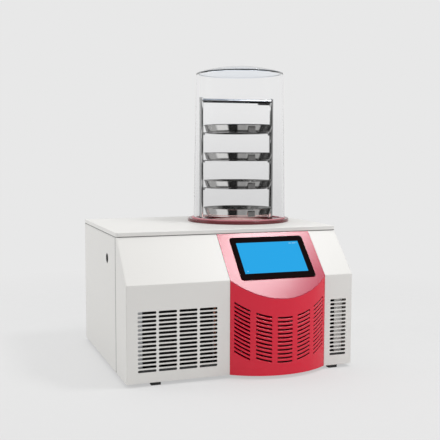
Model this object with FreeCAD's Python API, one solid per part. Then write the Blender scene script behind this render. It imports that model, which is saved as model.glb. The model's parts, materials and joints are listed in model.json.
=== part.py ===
import FreeCAD, Part
import math
import os

# Benchtop freeze dryer.  Millimetres, +Z up, front of the machine towards -Y.
# Working frame of the code: x = 0 at the middle of the body's width, y = 0 on the flat front
# face, z = 0 on the underside of the body.  place() moves everything so that the origin is the
# middle of the bottom of the whole machine, on the surface that the feet stand on.

# ---- overall body -------------------------------------------------------------------------
BODY_W = 550.0            # outside width of the cabinet
BODY_D = 470.0            # flat front face to rear face
BODY_H = 311.5            # underside of the cabinet to the underside of the top plate
CREASE_Z = 216.0          # height where the front face folds back
SLANT_RUN = 92.0          # how far back the slanted face goes
SHEET = 1.5               # sheet steel thickness
BEND = 3.0                # outside bend radius of the folded sheets
WRAP_D = 99.0             # depth of the front sheets' side returns
SEAM = 0.6                # shadow gap between two sheets
SIDE_SEAM = 1.2           # and between a front sheet's return and the side panel
FLANGE = 14.0             # depth of the inner flanges
LAP = 15.0                # overlap behind the side seam
PAN_H = 28.0              # upstand of the base pan
HOLE_FIT = 0.3            # holes in the sheets round what passes through
FIT = 0.1                 # clearance of pieces that lie against round ones
RUN_GAP = 0.05            # running clearance of turning fits

# ---- top plate -----------------------------------------------------------------------------
PLATE_H = 11.0            # skirt height of the top plate
PLATE_OVER = 1.0          # overhang past the cabinet
PLATE_CORNER = 7.0        # corner radius in plan
PLATE_EDGE = 2.0          # rounding along the top edge
PLATE_HOLE_FIT = 0.7      # hole in the plate round the trap

# ---- feet and screws -----------------------------------------------------------------------
FOOT_W = 22.0
FOOT_D = 14.0             # front to back
FOOT_H = 8.0
FOOT_EDGE = 1.0
FOOT_LEFT = 68.0          # middle of the left feet from the cabinet's left side
FOOT_RIGHT = 46.0         # and of the right feet from its right side
FOOT_FRONT = 12.0         # front feet behind the front face
FOOT_REAR = 34.0          # rear feet ahead of the rear face
FOOT_SCREW_R = 2.5
FOOT_HEAD_H = 2.0
FOOT_NUT_H = 4.0
THREAD_OVER = 2.0         # thread that stands past a nut
SCREW_R = 2.0
SCREW_L = 10.0
HEAD_R = 4.0
HEAD_H = 2.2

# ---- centre panel --------------------------------------------------------------------------
PANEL_IN = 191.7          # middle of the panel from the cabinet's right side
PANEL_W = 237.0
BULGE = 39.5              # how far the rounded front stands out
PANEL_PROUD = 0.5         # slanted part stands proud of the cabinet's slant
RED_COLS = 5
RED_ROWS = 12
RED_OUTER_ROWS = 13       # the two outer columns have one row more
RED_COL_ANGLE = 14.4      # degrees between columns round the bulge
RED_SLOT_ANGLE = 10.6     # degrees that one slot spans
RED_FIRST = 44.4          # first row below the panel's edge line
RED_SLOT_H = 5.4

# ---- front and rear grilles ----------------------------------------------------------------
ROW_PITCH = 9.2
COL_PITCH = 47.2
SLOT_H = 5.8
SLOT_L = 42.2
GRILLE_ROWS = 15
GRILLE_Z = 26.3           # middle of the lowest row
GRILLE_IN = 25.7          # left grille's slots from the cabinet's left side
GRILLE_END = 14.4         # least space between a grille and the seam of its sheet
BAFFLE_W = 37.5           # strip behind the right grille, from inside the cabinet's side
BAFFLE_BACK = 15.0        # behind the front face
BAFFLE_FACE = 20.0        # flat part of the strip; the rest runs back to the cabinet's side
BAFFLE_D = 30.0           # how far back it runs
BAFFLE_LAP = 10.0         # strip's end, flat on the cabinet's side
BAFFLE_DROP = 16.0        # top of the strip below the crease
EXHAUST_COLS = 3
EXHAUST_ROWS = 18
EXHAUST_IN = 49.0         # rear slots from the cabinet's left side
EXHAUST_Z = 60.0

# ---- touch screen --------------------------------------------------------------------------
GLASS_W = 186.0
GLASS_L = 121.0
GLASS_T = 1.8
GLASS_SHIFT = 1.4         # middle of the glass right of the panel's middle
GLASS_V = 57.9            # middle of the glass up the slope from the crease
GLASS_R = 7.0
GLASS_EDGE = 0.4
WINDOW_W = 166.0          # opening in the panel behind the glass
WINDOW_L = 98.0
LCD_GAP = 1.0             # display's edge to the window
LCD_T = 6.0
CARRIER_T = 1.2           # sheet of the screen's carrier
CARRIER_SIDE = 12.0       # carrier's rim past the window, at the sides
CARRIER_END = 7.0         # and at the ends
CARRIER_FIT = 0.5
BOARD_W = 150.0
BOARD_L = 88.0
BOARD_T = 1.6
BOARD_GAP = 10.0          # from the carrier's back to the board
STANDOFF_R = 3.0
STANDOFF_IN = 6.0         # from the board's edges
CHIP = 16.0
CHIP_H = 2.2

# ---- cold trap and collar ------------------------------------------------------------------
TRAP_IN = 172.0           # chamber's axis from the cabinet's right side
TRAP_BACK = 164.0         # and from the rear face
TRAP_R = 90.0             # inside radius of the cold trap
TRAP_WALL = 1.5
TRAP_DEPTH = 192.5        # trap's inside floor below the top plate
TRAP_CORNER = 12.0
FLANGE_OVER = 34.0        # trap's flange past its bore
COLLAR_OVER = 43.0        # red collar past the trap's bore
COLLAR_H = 8.0
COLLAR_EDGE = 2.2
GROOVE_DEPTH = 1.5
GROOVE_SIDE = 3.0         # groove past the jar's wall, each side
GASKET_H = 4.0
GASKET_FIT = 0.2
FOAM_T = 41.0             # insulation round the trap
FOAM_FLOOR_T = 36.0
FOAM_NECK = 14.0          # the insulation closes in on the trap above the coil
COIL_TUBE_R = 4.75
COIL_TURNS = 5
COIL_PITCH = 20.0
COIL_BASE = 14.0          # first turn above the trap's floor
HEADER_SHARE = 0.8        # header's radius as a share of the coil tube's

# ---- bell jar ------------------------------------------------------------------------------
JAR_OVER = 30.3           # jar's rim past the trap's bore
JAR_TAPER = 7.0           # jar's radius lost up to the shoulder
JAR_WALL = 5.0
JAR_SHIFT = 2.6            # the jar stands this far off the trap's axis
JAR_H = 392.4             # rim to the middle of the top
JAR_TOP_T = 8.0            # thickness of the top
JAR_DOME = 17.0           # rise of the top
JAR_SHOULDER = 2.5

# ---- drying rack and trays -----------------------------------------------------------------
RACK_OVER = 7.0           # uprights' axes past the trap's bore
RACK_H = 314.0            # uprights above the collar
RACK_BACK = 9.3           # uprights stand this far behind the trays' axis
RACK_SHIFT = -1.5
RACK_TURN = -3.0          # the rack stands slightly turned on the collar
ROD_R = 5.2
ROD_EDGE = 1.5
RACK_BAR_DROP = 8.0       # top of the uprights down to the bar's axis
STRAP_L = 34.0            # flat under the right end of the bar
STRAP_H = 4.6
STRAP_T = 6.0
STRAP_SINK = 0.6          # the flat and the rods run into each other where they are welded
RING_IN = 6.0             # support ring inside the trays' foot
RING_WIRE = 1.6           # radius of its wire
ARM_R = 1.3               # arms from the ring to its pegs
HOOK_R = 2.2
HOOK_H = 7.0
HOOK_DROP = 0.4           # hook's top under the trays
TRAYS = 4
TRAY_PITCH = 71.5
TRAY_FIRST = 28.9         # rim of the lowest tray above the collar
TRAY_FIT = 1.1            # trays' rim to the uprights
TRAY_H = 19.0
TRAY_LEAN = 6.7           # rim's radius past the foot's
TRAY_WALL = 1.0
TRAY_CORNER = 3.0
TRAY_LIP = 1.3            # radius of the rolled rim
TAB_ANGLE = -89.0
TAB_W = 19.0
TAB_H = 15.0
TAB_OUT = 3.2
TAB_LOW = 1.6             # tab's lower edge under the tray's foot
TAB_T = 1.2

# ---- condenser and fan ---------------------------------------------------------------------
COND_IN = 38.0            # condenser from the cabinet's left side
COND_W = 167.0
COND_D = 42.0
COND_H = 172.0
COND_Y0 = 20.0
COND_Z0 = 34.0
END_T = 1.5
END_SIDE = 2.0            # end plates past the core, front and back
END_LIP_IN = 13.0         # outer edge of the left plate's lip from the cabinet's side
END_LIP_Y = 8.0
END_LIP_Z = 31.0          # the lip starts above the pan's upstand
END_TURN = 14.0           # width of the right plate's lip
HAIRPINS = 6
HAIRPIN_R = 3.8
HAIRPIN_OUT = 10.0
FAN_R = 73.0
FAN_BLADES = 5
FAN_HUB_R = 17.0
FAN_DEPTH = 14.0
FAN_GAP = 3.0             # blade tips to the duct
FAN_SET = 6.0             # hub's front face inside the duct
DUCT_D = 24.0
DUCT_T = 1.2
CROSS_W = 26.0            # strap across the duct that carries the motor
MOTOR_R = 36.0
MOTOR_L = 46.0
MOTOR_EDGE = 6.0
SHAFT_R = 3.0
SHAFT_HOLE = 6.0

# ---- compressor and pipes ------------------------------------------------------------------
COMP_IN = 125.0           # compressor's axis from the cabinet's left side
COMP_AHEAD = 6.0          # and in front of the trap's axis
COMP_R = 76.0
COMP_Z0 = 30.0
COMP_H = 160.0
COMP_DOME = 26.0
COMP_SEAM = 2.5
COMP_FOOT_OVER = 12.0     # foot plate past the shell
COMP_FOOT_T = 4.0
COMP_FOOT_CORNER = 14.0
GROMMET_R = 11.0
GROMMET_IN = 14.0         # grommets from the foot plate's edges
STUD_R = 4.0
WASHER_T = 1.5
NUT_H = 4.0
STUD_HEAD = 2.5
COVER_W = 52.0            # terminal cover
COVER_H = 44.0
COVER_OUT = 20.0
COVER_Z = 48.0
STUB = 30.0               # pipe stubs off the compressor's axis
STUB_H = 2.0              # stubs above the shell
STUB_WALL = 1.0
GAS_R = 4.0               # discharge pipe
GAS_RISE = 40.0           # discharge pipe above its stub
GAS_BEND = 12.0
SUCTION_R = 5.0
SUCTION_BEND = 14.0
LIQUID_R = 3.0
LIQUID_BEND = 7.0
LIQUID_DROP = 20.0
PIPE_CLEAR = 6.5          # pipes' axis line past the insulation
DRIER_R = 11.0
DRIER_L = 90.0
DRIER_Z = 50.0
DRIER_BACK = 60.0         # drier behind the condenser
DRIER_NECK = 8.0
FEED_RISE = 24.0
FEED_SIDE = 20.0          # feed pipe's run in front of the trap's axis
FEED_BEND = 9.0

# ---- vacuum line ---------------------------------------------------------------------------
PORT_AHEAD = 25.5         # port's axis in front of the trap
PORT_DROP = 69.5          # and below the top plate
PORT_R = 13.0             # outside radius of the vacuum pipe
PORT_BORE = 11.0
PORT_BEND = 25.0
PORT_INTO = 45.0          # how far left of the trap's axis the pipe enters
GAUGE_OUT = 163.0         # gauge left of the trap's axis
GAUGE_R = 9.0
GAUGE_H = 34.0
GAUGE_NECK_R = 6.0
GAUGE_NECK = 6.0

# ---- drain ---------------------------------------------------------------------------------
DRAIN_R = 6.0
DRAIN_WALL = 1.5
DRAIN_Z = 50.0
DRAIN_BEND = 20.0
SPOUT_L = 4.0
VALVE_W = 22.0
VALVE_L = 24.0
VALVE_CORNER = 4.0
NECK_R = 6.0
NECK_H = 4.0
NOZZLE_R = 4.5
NOZZLE_L = 18.0
LEVER_L = 44.0
LEVER_TAIL = 7.0
LEVER_W = 9.0
LEVER_T = 3.0
LEVER_BOSS = 2.5
STEM_R = 3.0
STEM_IN = 5.0             # how far the stem goes into the valve
STEM_WELL = 6.0

# ---- electrics -----------------------------------------------------------------------------
INLET_IN = 67.0           # power inlet from the cabinet's right side
OUTLET_IN = 135.0         # pump outlet
SWITCH_IN = 101.0         # power switch
INLET_Z = 62.0
INLET_W = 34.0            # outside of the inlet's rim
INLET_H = 28.0
INLET_T = 2.5
BLOCK_W = 28.0            # block behind the rim
BLOCK_H = 24.0
BLOCK_D = 24.0
CAVITY_W = 24.0
CAVITY_H = 16.4
CAVITY_D = 16.0
CORNER = 3.0
PINS = ((-7.0, -1.5), (0.0, 2.5), (7.0, -1.5))
PIN_T = 2.0
PIN_W = 6.0
PIN_SLOT_FIT = 0.4
SWITCH_W = 15.0
SWITCH_H = 22.0
SWITCH_D = 20.0
SWITCH_RIM = 2.5
SWITCH_RIM_T = 2.0
SWITCH_WALL = 2.0         # sides of the rocker's pocket
SWITCH_END = 1.0          # ends of the rocker's pocket
POCKET_D = 9.0
PIVOT_R = 1.2
PIVOT_IN = 3.0            # rocker's pivot inside the rear face
ROCKER_GAP = 0.35
PSU_IN = 235.0            # power supply from the cabinet's right side
PSU_Y = 62.0
PSU_W = 150.0
PSU_D = 90.0
PSU_H = 42.0
VENT_PITCH = 9.0
VENT_W = 4.0
VENT_DEEP = 1.2
VENT_SIDE = 12.0          # vents from the ends of the power supply
VENT_END = 14.0           # and from its sides

# ---- worked out ----------------------------------------------------------------------------
HALF_W = BODY_W / 2
SLANT_RISE = BODY_H - CREASE_Z
SLANT_L = math.hypot(SLANT_RUN, SLANT_RISE)
SLOPE = math.degrees(math.atan2(SLANT_RISE, SLANT_RUN))
PLATE_TOP = BODY_H + PLATE_H
REAR_FLANGE_Y = BODY_D - 2 * SHEET
FOOT_X = (FOOT_LEFT - HALF_W, HALF_W - FOOT_RIGHT)

PANEL_X = HALF_W - PANEL_IN
PANEL_R = ((PANEL_W / 2) ** 2 + BULGE ** 2) / (2 * BULGE)
PANEL_AXIS_Y = PANEL_R - BULGE
PANEL_X0 = PANEL_X - PANEL_W / 2
PANEL_X1 = PANEL_X + PANEL_W / 2
GLASS_X = PANEL_X + GLASS_SHIFT
LCD_W = WINDOW_W - 2 * LCD_GAP
LCD_L = WINDOW_L - 2 * LCD_GAP

TRAP_X = HALF_W - TRAP_IN
TRAP_Y = BODY_D - TRAP_BACK
TRAP_FLOOR = PLATE_TOP - TRAP_DEPTH
TRAP_FLANGE_R = TRAP_R + FLANGE_OVER
POT_R = TRAP_R + TRAP_WALL
POT_BOTTOM = TRAP_FLOOR - TRAP_WALL
COLLAR_R = TRAP_R + COLLAR_OVER
COLLAR_TOP = PLATE_TOP + COLLAR_H
JAR_BASE_R = TRAP_R + JAR_OVER
JAR_TOP_R = JAR_BASE_R - JAR_TAPER
JAR_Z = COLLAR_TOP - GROOVE_DEPTH + GASKET_H
GROOVE_OUT = JAR_BASE_R + GROOVE_SIDE
GROOVE_IN = JAR_BASE_R - JAR_WALL - GROOVE_SIDE
COIL_R = POT_R + COIL_TUBE_R + FIT
FOAM_IN = COIL_R + COIL_TUBE_R + FIT
FOAM_R = POT_R + FOAM_T
FOAM_BOTTOM = POT_BOTTOM - FOAM_FLOOR_T

RACK_HALF = TRAP_R + RACK_OVER
TRAY_R = RACK_HALF - ROD_R - TRAY_FIT
TRAY_BASE_R = TRAY_R - TRAY_LEAN
RING_R = TRAY_BASE_R - RING_IN

COND_X0 = -HALF_W + COND_IN
COND_X1 = COND_X0 + COND_W
COND_X = (COND_X0 + COND_X1) / 2
COND_Y = COND_Y0 + COND_D / 2
HAIRPIN_PITCH = COND_H / HAIRPINS
FAN_Z = COND_Z0 + COND_H / 2
DUCT_Y = COND_Y0 + COND_D
DUCT_R = FAN_R + FAN_GAP
CROSS_Y = DUCT_Y + DUCT_D
HUB_Y = DUCT_Y + FAN_SET
COMP_X = -HALF_W + COMP_IN
COMP_Y = TRAP_Y - COMP_AHEAD
COMP_TOP = COMP_Z0 + COMP_H + STUB_H
DRIER_X = TRAP_X - FOAM_R - PIPE_CLEAR
DRIER_Y = DUCT_Y + DRIER_BACK

PORT_Y = TRAP_Y - POT_R - PORT_AHEAD
PORT_Z = PLATE_TOP - PORT_DROP
GAUGE_X = TRAP_X - GAUGE_OUT
VALVE_OUT = VALVE_L + NOZZLE_L
INLET_X = HALF_W - INLET_IN
OUTLET_X = HALF_W - OUTLET_IN
SWITCH_X = HALF_W - SWITCH_IN
PSU_X = HALF_W - PSU_IN
ORIGIN_Y = (BODY_D + VALVE_OUT - BULGE) / 2

V = FreeCAD.Vector
AXES = {"x": V(1, 0, 0), "y": V(0, 1, 0), "z": V(0, 0, 1)}


def place(shape):
    """Move a shape from the working frame to the part's own frame."""
    moved = shape.copy()
    moved.translate(V(0, -ORIGIN_Y, FOOT_H))
    return moved


def save(name, *solids):
    """Write one node: a single solid, or a group of separate ones."""
    found = []
    for item in solids:
        found += item.Solids
    shape = found[0] if len(found) == 1 else Part.makeCompound(found)
    place(shape).exportStep("parts/%s.step" % name)


def box(x0, x1, y0, y1, z0, z1):
    return Part.makeBox(x1 - x0, y1 - y0, z1 - z0, V(x0, y0, z0))


def rod(x, y, z, r, length, axis="z"):
    """A cylinder that starts at a point and runs along an axis."""
    return Part.makeCylinder(r, length, V(x, y, z), AXES[axis])


def tube(x, y, z, r_out, r_in, length, axis="z"):
    return rod(x, y, z, r_out, length, axis).cut(rod(x, y, z, r_in, length, axis))


def join(first, *others):
    return first.fuse(list(others)).removeSplitter() if others else first


def prism_x(outline, x0, x1):
    """A (y, z) outline drawn out along x."""
    points = [V(x0, y, z) for y, z in outline]
    return Part.Face(Part.makePolygon(points + points[:1])).extrude(V(x1 - x0, 0, 0))


def prism_z(outline, z0, z1):
    """An (x, y) outline drawn out upwards."""
    points = [V(x, y, z0) for x, y in outline]
    return Part.Face(Part.makePolygon(points + points[:1])).extrude(V(0, 0, z1 - z0))


def rounded_box(x0, x1, y0, y1, z0, z1, r, axis="z"):
    """A box whose four edges along one axis are rounded."""
    shape = box(x0, x1, y0, y1, z0, z1)
    edges = [e for e in shape.Edges if abs(e.tangentAt(e.FirstParameter).dot(AXES[axis])) > 0.99]
    return shape.makeFillet(r, edges)


def turned(outline, x, y):
    """A closed (radius, z) outline of edges turned about the vertical axis at x, y."""
    face = Part.Face(Part.Wire(outline))
    solid = face.revolve(V(0, 0, 0), V(0, 0, 1), 360)
    solid.translate(V(x, y, 0))
    return solid


def line(r0, z0, r1, z1):
    return Part.LineSegment(V(r0, 0, z0), V(r1, 0, z1)).toShape()


def arc(a, b, c):
    """An arc through three (radius, z) points."""
    return Part.Arc(V(a[0], 0, a[1]), V(b[0], 0, b[1]), V(c[0], 0, c[1])).toShape()


def route_wire(points, bend):
    """Straight runs joined by tangent arcs of one radius."""
    edges = []
    start = V(*points[0])
    for i in range(1, len(points) - 1):
        before, corner, after = V(*points[i - 1]), V(*points[i]), V(*points[i + 1])
        back = (before - corner).normalize()
        on = (after - corner).normalize()
        half = back.getAngle(on) / 2
        reach = bend / math.tan(half)
        middle = (back + on).normalize() * (bend / math.sin(half))
        centre = corner + middle
        p0, p2 = corner + back * reach, corner + on * reach
        p1 = centre + (corner - centre).normalize() * bend
        edges.append(Part.LineSegment(start, p0).toShape())
        edges.append(Part.Arc(p0, p1, p2).toShape())
        start = p2
    edges.append(Part.LineSegment(start, V(*points[-1])).toShape())
    return Part.Wire(edges)


def pipe(points, bend, r):
    """A round bar along a route, with square ends."""
    wire = route_wire(points, bend)
    first = (V(*points[1]) - V(*points[0])).normalize()
    ring = Part.Wire(Part.makeCircle(r, V(*points[0]), first))
    return wire.makePipeShell([ring], True, False)


def on_slope(shape):
    """Take a shape drawn flat (x, up the slope, outwards) to the panel's slanted face."""
    moved = shape.copy()
    moved.translate(V(0, 0, PANEL_PROUD))
    moved.rotate(V(0, 0, 0), V(1, 0, 0), SLOPE)
    moved.translate(V(0, 0, CREASE_Z))
    return moved


def screw(x, y, z, length, axis, sign):
    """A pan head screw: the head stands on the point, the shank goes the other way."""
    d = AXES[axis] * sign
    at = V(x, y, z)
    head = Part.makeCylinder(HEAD_R, HEAD_H, at, d)
    rim = [e for e in head.Edges if e.Length > HEAD_R * 6 and
           abs((e.CenterOfMass - at).dot(d) - HEAD_H) < 1e-6]
    head = head.makeFillet(HEAD_H * 0.6, rim)
    slot = Part.makeBox(HEAD_R * 1.1, HEAD_R * 0.28, HEAD_H, V(-HEAD_R * 0.55, -HEAD_R * 0.14, 0))
    cross = slot.fuse(slot.rotated(V(0, 0, 0), V(0, 0, 1), 90))
    cross.Placement = FreeCAD.Placement(at + d * (HEAD_H * 0.45), FreeCAD.Rotation(V(0, 0, 1), d))
    shank = Part.makeCylinder(SCREW_R, length, at, d * -1)
    return head.cut(cross).fuse(shank).removeSplitter()


# ---- cabinet -------------------------------------------------------------------------------

def front_outline(inset, back, bottom):
    """Side outline of the cabinet's front, moved inwards by inset."""
    z_fold = CREASE_Z - inset * (SLANT_L - SLANT_RISE) / SLANT_RUN
    y_top = SLANT_RUN + inset * (SLANT_L - SLANT_RUN) / SLANT_RISE
    top = BODY_H - inset
    return [(inset, bottom), (inset, z_fold), (y_top, top), (back, top), (back, bottom)]


def obround(x0, z, length, height, y0, y1):
    """A slot cutter with round ends, running along x through a wall that faces y."""
    r = height / 2
    middle = box(x0 + r, x0 + length - r, y0, y1, z - r, z + r)
    return join(middle, rod(x0 + r, y0, z, r, y1 - y0, "y"),
                rod(x0 + length - r, y0, z, r, y1 - y0, "y"))


def slot_field(x_first, z_first, columns, rows, y0, y1):
    return [obround(x_first + c * COL_PITCH, z_first + r * ROW_PITCH, SLOT_L, SLOT_H, y0, y1)
            for c in range(columns) for r in range(rows)]


def fascia(outer_x, seam_x, grille_x, columns):
    """One front sheet: side return, front, slanted face, top flange and seam flange."""
    side = 1 if seam_x > outer_x else -1
    lo, hi = min(outer_x, seam_x), max(outer_x, seam_x)
    body = prism_x(front_outline(0, WRAP_D, 0), lo, hi)
    outside = [e for e in body.Edges if is_fold(e, outer_x)]
    body = body.makeFillet(BEND, outside)
    inner = prism_x(front_outline(SHEET, WRAP_D + 1, -1),
                    *sorted((outer_x + side * SHEET, seam_x - side * SHEET)))
    inside = [e for e in inner.Edges if is_fold(e, outer_x + side * SHEET)]
    body = body.cut(inner.makeFillet(BEND - SHEET, inside))
    near = sorted((seam_x - side * 2 * SHEET, seam_x + side * SHEET))
    body = body.cut(prism_x(front_outline(FLANGE, WRAP_D + 1, -1), *near))
    body = body.cut(box(near[0], near[1], SHEET, WRAP_D + 1, -1, PAN_H + SEAM))
    body = body.cut(box(near[0], near[1], SLANT_RUN, WRAP_D + 1, CREASE_Z, BODY_H - SHEET))
    slots = slot_field(grille_x, GRILLE_Z, columns, GRILLE_ROWS, -2, 2 * SHEET)
    return body.cut(slots)


def is_fold(edge, x):
    """True for the edges where a front sheet is folded: along its side, crease and top."""
    a, b = edge.Vertexes[0].Point, edge.Vertexes[-1].Point
    low, high = sorted((a.z, b.z))
    forward = max(a.y, b.y) < SLANT_RUN + 2 * SHEET
    if abs(a.x - x) < 1e-6 and abs(b.x - x) < 1e-6:
        return forward and high - low > CREASE_Z / 4
    level = abs(a.x - b.x) > 1 and abs(low - high) < 1e-6
    crease = abs(low - CREASE_Z) < 2 * SHEET and max(a.y, b.y) < 2 * SHEET
    top = abs(low - BODY_H) < 2 * SHEET and forward
    return level and (crease or top)


def cabinet():
    left = -HALF_W + GRILLE_IN
    columns = int((PANEL_X0 - SEAM - GRILLE_END - left) / COL_PITCH)
    save("left_fascia", fascia(-HALF_W, PANEL_X0 - SEAM, left, columns))
    save("right_fascia", fascia(HALF_W, PANEL_X1 + SEAM, PANEL_X1 + SEAM + GRILLE_END, 1))
    side_panels()
    baffle()
    base_pan()
    rear_panel()
    top_plate()


def side_panels():
    half = HALF_W
    y0, y1 = WRAP_D + SIDE_SEAM, BODY_D - SHEET
    for name, s in (("left_side_panel", -1), ("right_side_panel", 1)):
        def wall(x_in, x_out, ya, yb, za, zb):
            a, b = sorted((s * x_in, s * x_out))
            return box(a, b, ya, yb, za, zb)
        panel = join(wall(half - SHEET, half, y0, y1, 0, BODY_H),
                     wall(half - FLANGE, half - SHEET, y1 - SHEET, y1, 0, BODY_H),
                     wall(half - FLANGE, half - SHEET, y0, y1 - SHEET, BODY_H - SHEET, BODY_H),
                     wall(half - 2 * SHEET, half - SHEET, WRAP_D - LAP, y0 + LAP,
                          PAN_H + SEAM, CREASE_Z + SLANT_RISE / 2))
        rear_edge = V(s * half, y1, BODY_H / 2)
        top_edge = V(s * half, (y0 + y1) / 2, BODY_H)
        panel = panel.makeFillet(SHEET * 0.8, edges_at(panel, rear_edge))
        panel = panel.makeFillet(BEND, edges_at(panel, top_edge))
        if s < 0:
            panel = panel.cut(rod(-half - 1, PORT_Y, PORT_Z, PORT_R + HOLE_FIT, 3 * SHEET, "x"))
        for z in rear_screw_heights():
            panel = panel.cut(rod(s * (half - FLANGE / 2), y1 - 2 * SHEET, z,
                                  SCREW_R + HOLE_FIT, 3 * SHEET, "y"))
        save(name, panel)


def edges_at(shape, point):
    """The straight edges whose middle is at a point."""
    return [e for e in shape.Edges if (e.CenterOfMass - point).Length < SHEET]


def baffle():
    """A folded strip behind the outer end of the right front grille."""
    wall, top = HALF_W - SHEET, CREASE_Z - BAFFLE_DROP
    y = BAFFLE_BACK
    x, back = wall - BAFFLE_W, y + BAFFLE_D
    bend = x + BAFFLE_FACE
    outline = [(x, y), (bend, y), (wall, back), (wall, back + BAFFLE_LAP),
               (wall - SHEET, back + BAFFLE_LAP), (wall - SHEET, back + SHEET / 2),
               (bend - SHEET / 2, y + SHEET), (x, y + SHEET)]
    save("front_baffle", prism_z(outline, PAN_H, top))


def rear_screw_heights():
    return [BODY_H * k / 8 for k in (1, 3, 5, 7)]


def rear_screw_places():
    x = HALF_W - FLANGE / 2
    return [(s * x, z) for s in (-1, 1) for z in rear_screw_heights()]


def base_pan():
    half = HALF_W - SHEET
    pan = rounded_box(-half, half, SHEET, REAR_FLANGE_Y, 0, PAN_H, BEND - SHEET + FIT)
    pan = pan.cut(box(-half + SHEET, half - SHEET, 2 * SHEET, REAR_FLANGE_Y - SHEET, SHEET, PAN_H))
    pan = pan.cut(foot_holes())
    for x, y in compressor_stud_places():
        pan = pan.cut(rod(x, y, -1, STUD_R + HOLE_FIT, 3 * SHEET))
    save("base_pan", pan)


def foot_places():
    return [(x, y) for x in FOOT_X for y in (FOOT_FRONT, BODY_D - FOOT_REAR)]


def foot_holes():
    return [rod(x, y, -1, FOOT_SCREW_R + HOLE_FIT, 3 * SHEET) for x, y in foot_places()]


def feet():
    rubber, screws = [], []
    for x, y in foot_places():
        foot = rounded_box(x - FOOT_W / 2, x + FOOT_W / 2, y - FOOT_D / 2, y + FOOT_D / 2,
                           -FOOT_H, 0, FOOT_EDGE)
        recess = rod(x, y, -FOOT_H, FOOT_SCREW_R * 2, FOOT_H / 2)
        rubber.append(foot.cut(recess).cut(rod(x, y, -FOOT_H, FOOT_SCREW_R + FIT, FOOT_H)))
        head = rod(x, y, -FOOT_H / 2 - FOOT_HEAD_H, FOOT_SCREW_R * 1.8, FOOT_HEAD_H)
        shank = rod(x, y, -FOOT_H / 2, FOOT_SCREW_R,
                    FOOT_H / 2 + SHEET + FOOT_NUT_H + THREAD_OVER)
        nut = hexagon(x, y, SHEET, FOOT_SCREW_R * 1.9, FOOT_NUT_H)
        hole = rod(x, y, SHEET, FOOT_SCREW_R + RUN_GAP, FOOT_NUT_H)
        screws += [join(head, shank), nut.cut(hole)]
    save("feet", *rubber)
    save("foot_screws", *screws)


def hexagon(x, y, z, r, height):
    points = [(x + r * math.cos(math.radians(60 * k)), y + r * math.sin(math.radians(60 * k)))
              for k in range(6)]
    return prism_z(points, z, z + height)


def rear_panel():
    y0, y1 = BODY_D - SHEET, BODY_D
    panel = box(-HALF_W, HALF_W, y0, y1, 0, BODY_H)
    panel = panel.cut(slot_field(-HALF_W + EXHAUST_IN, EXHAUST_Z, EXHAUST_COLS, EXHAUST_ROWS,
                                 y0 - 1, y1 + 1))
    cuts = [rod(x, y0 - 1, z, SCREW_R + HOLE_FIT, 3 * SHEET, "y") for x, z in rear_screw_places()]
    cuts.append(rod(TRAP_X, y0 - 1, DRAIN_Z, DRAIN_R + HOLE_FIT, 3 * SHEET, "y"))
    for x in (INLET_X, OUTLET_X):
        cuts.append(window(x, BLOCK_W + 2 * HOLE_FIT, BLOCK_H + 2 * HOLE_FIT, y0 - 1, y1 + 1,
                           CORNER))
    cuts.append(window(SWITCH_X, SWITCH_W + 2 * HOLE_FIT, SWITCH_H + 2 * HOLE_FIT, y0 - 1, y1 + 1))
    save("rear_panel", panel.cut(cuts))
    save("rear_screws", *[screw(x, y1, z, SCREW_L, "y", 1) for x, z in rear_screw_places()])


def top_plate():
    half = HALF_W + PLATE_OVER
    y0, y1 = SLANT_RUN - PLATE_OVER, BODY_D + PLATE_OVER
    plate = rounded_box(-half, half, y0, y1, BODY_H, PLATE_TOP, PLATE_CORNER)
    top = [e for e in plate.Edges if e.BoundBox.ZMin > PLATE_TOP - 1e-6]
    plate = plate.makeFillet(PLATE_EDGE, top)
    t = SHEET
    hollow = rounded_box(-half + t, half - t, y0 + t, y1 - t, BODY_H, PLATE_TOP - t,
                         PLATE_CORNER - t)
    hole = rod(TRAP_X, TRAP_Y, BODY_H, POT_R + PLATE_HOLE_FIT, 2 * PLATE_H)
    save("top_plate", plate.cut([hollow, hole]))


# ---- centre panel and touch screen ---------------------------------------------------------

def panel_plan(inset, back):
    """Plan of the centre panel: a circular arc in front, straight sides and back."""
    r = PANEL_R - inset
    half = PANEL_W / 2 - inset
    y = PANEL_AXIS_Y - math.sqrt(r * r - half * half)
    a, b = V(PANEL_X - half, y, 0), V(PANEL_X + half, y, 0)
    nose = V(PANEL_X, PANEL_AXIS_Y - r, 0)
    c, d = V(b.x, back, 0), V(a.x, back, 0)
    return Part.Face(Part.Wire([Part.Arc(a, nose, b).toShape(), Part.LineSegment(b, c).toShape(),
                                Part.LineSegment(c, d).toShape(), Part.LineSegment(d, a).toShape()]))


def below_slant(inset):
    """Everything under the panel's slanted face, moved inwards by inset."""
    y_far = BULGE + 10

    def z_at(y):
        normal_shift = (PANEL_PROUD - inset) * SLANT_L / SLANT_RUN
        return CREASE_Z + y * SLANT_RISE / SLANT_RUN + normal_shift
    top = BODY_H - inset
    y_top = (top - z_at(0)) * SLANT_RUN / SLANT_RISE
    outline = [(-y_far, -1), (-y_far, z_at(-y_far)), (y_top, top), (WRAP_D, top), (WRAP_D, -1)]
    return prism_x(outline, PANEL_X0 - 1, PANEL_X1 + 1)


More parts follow.
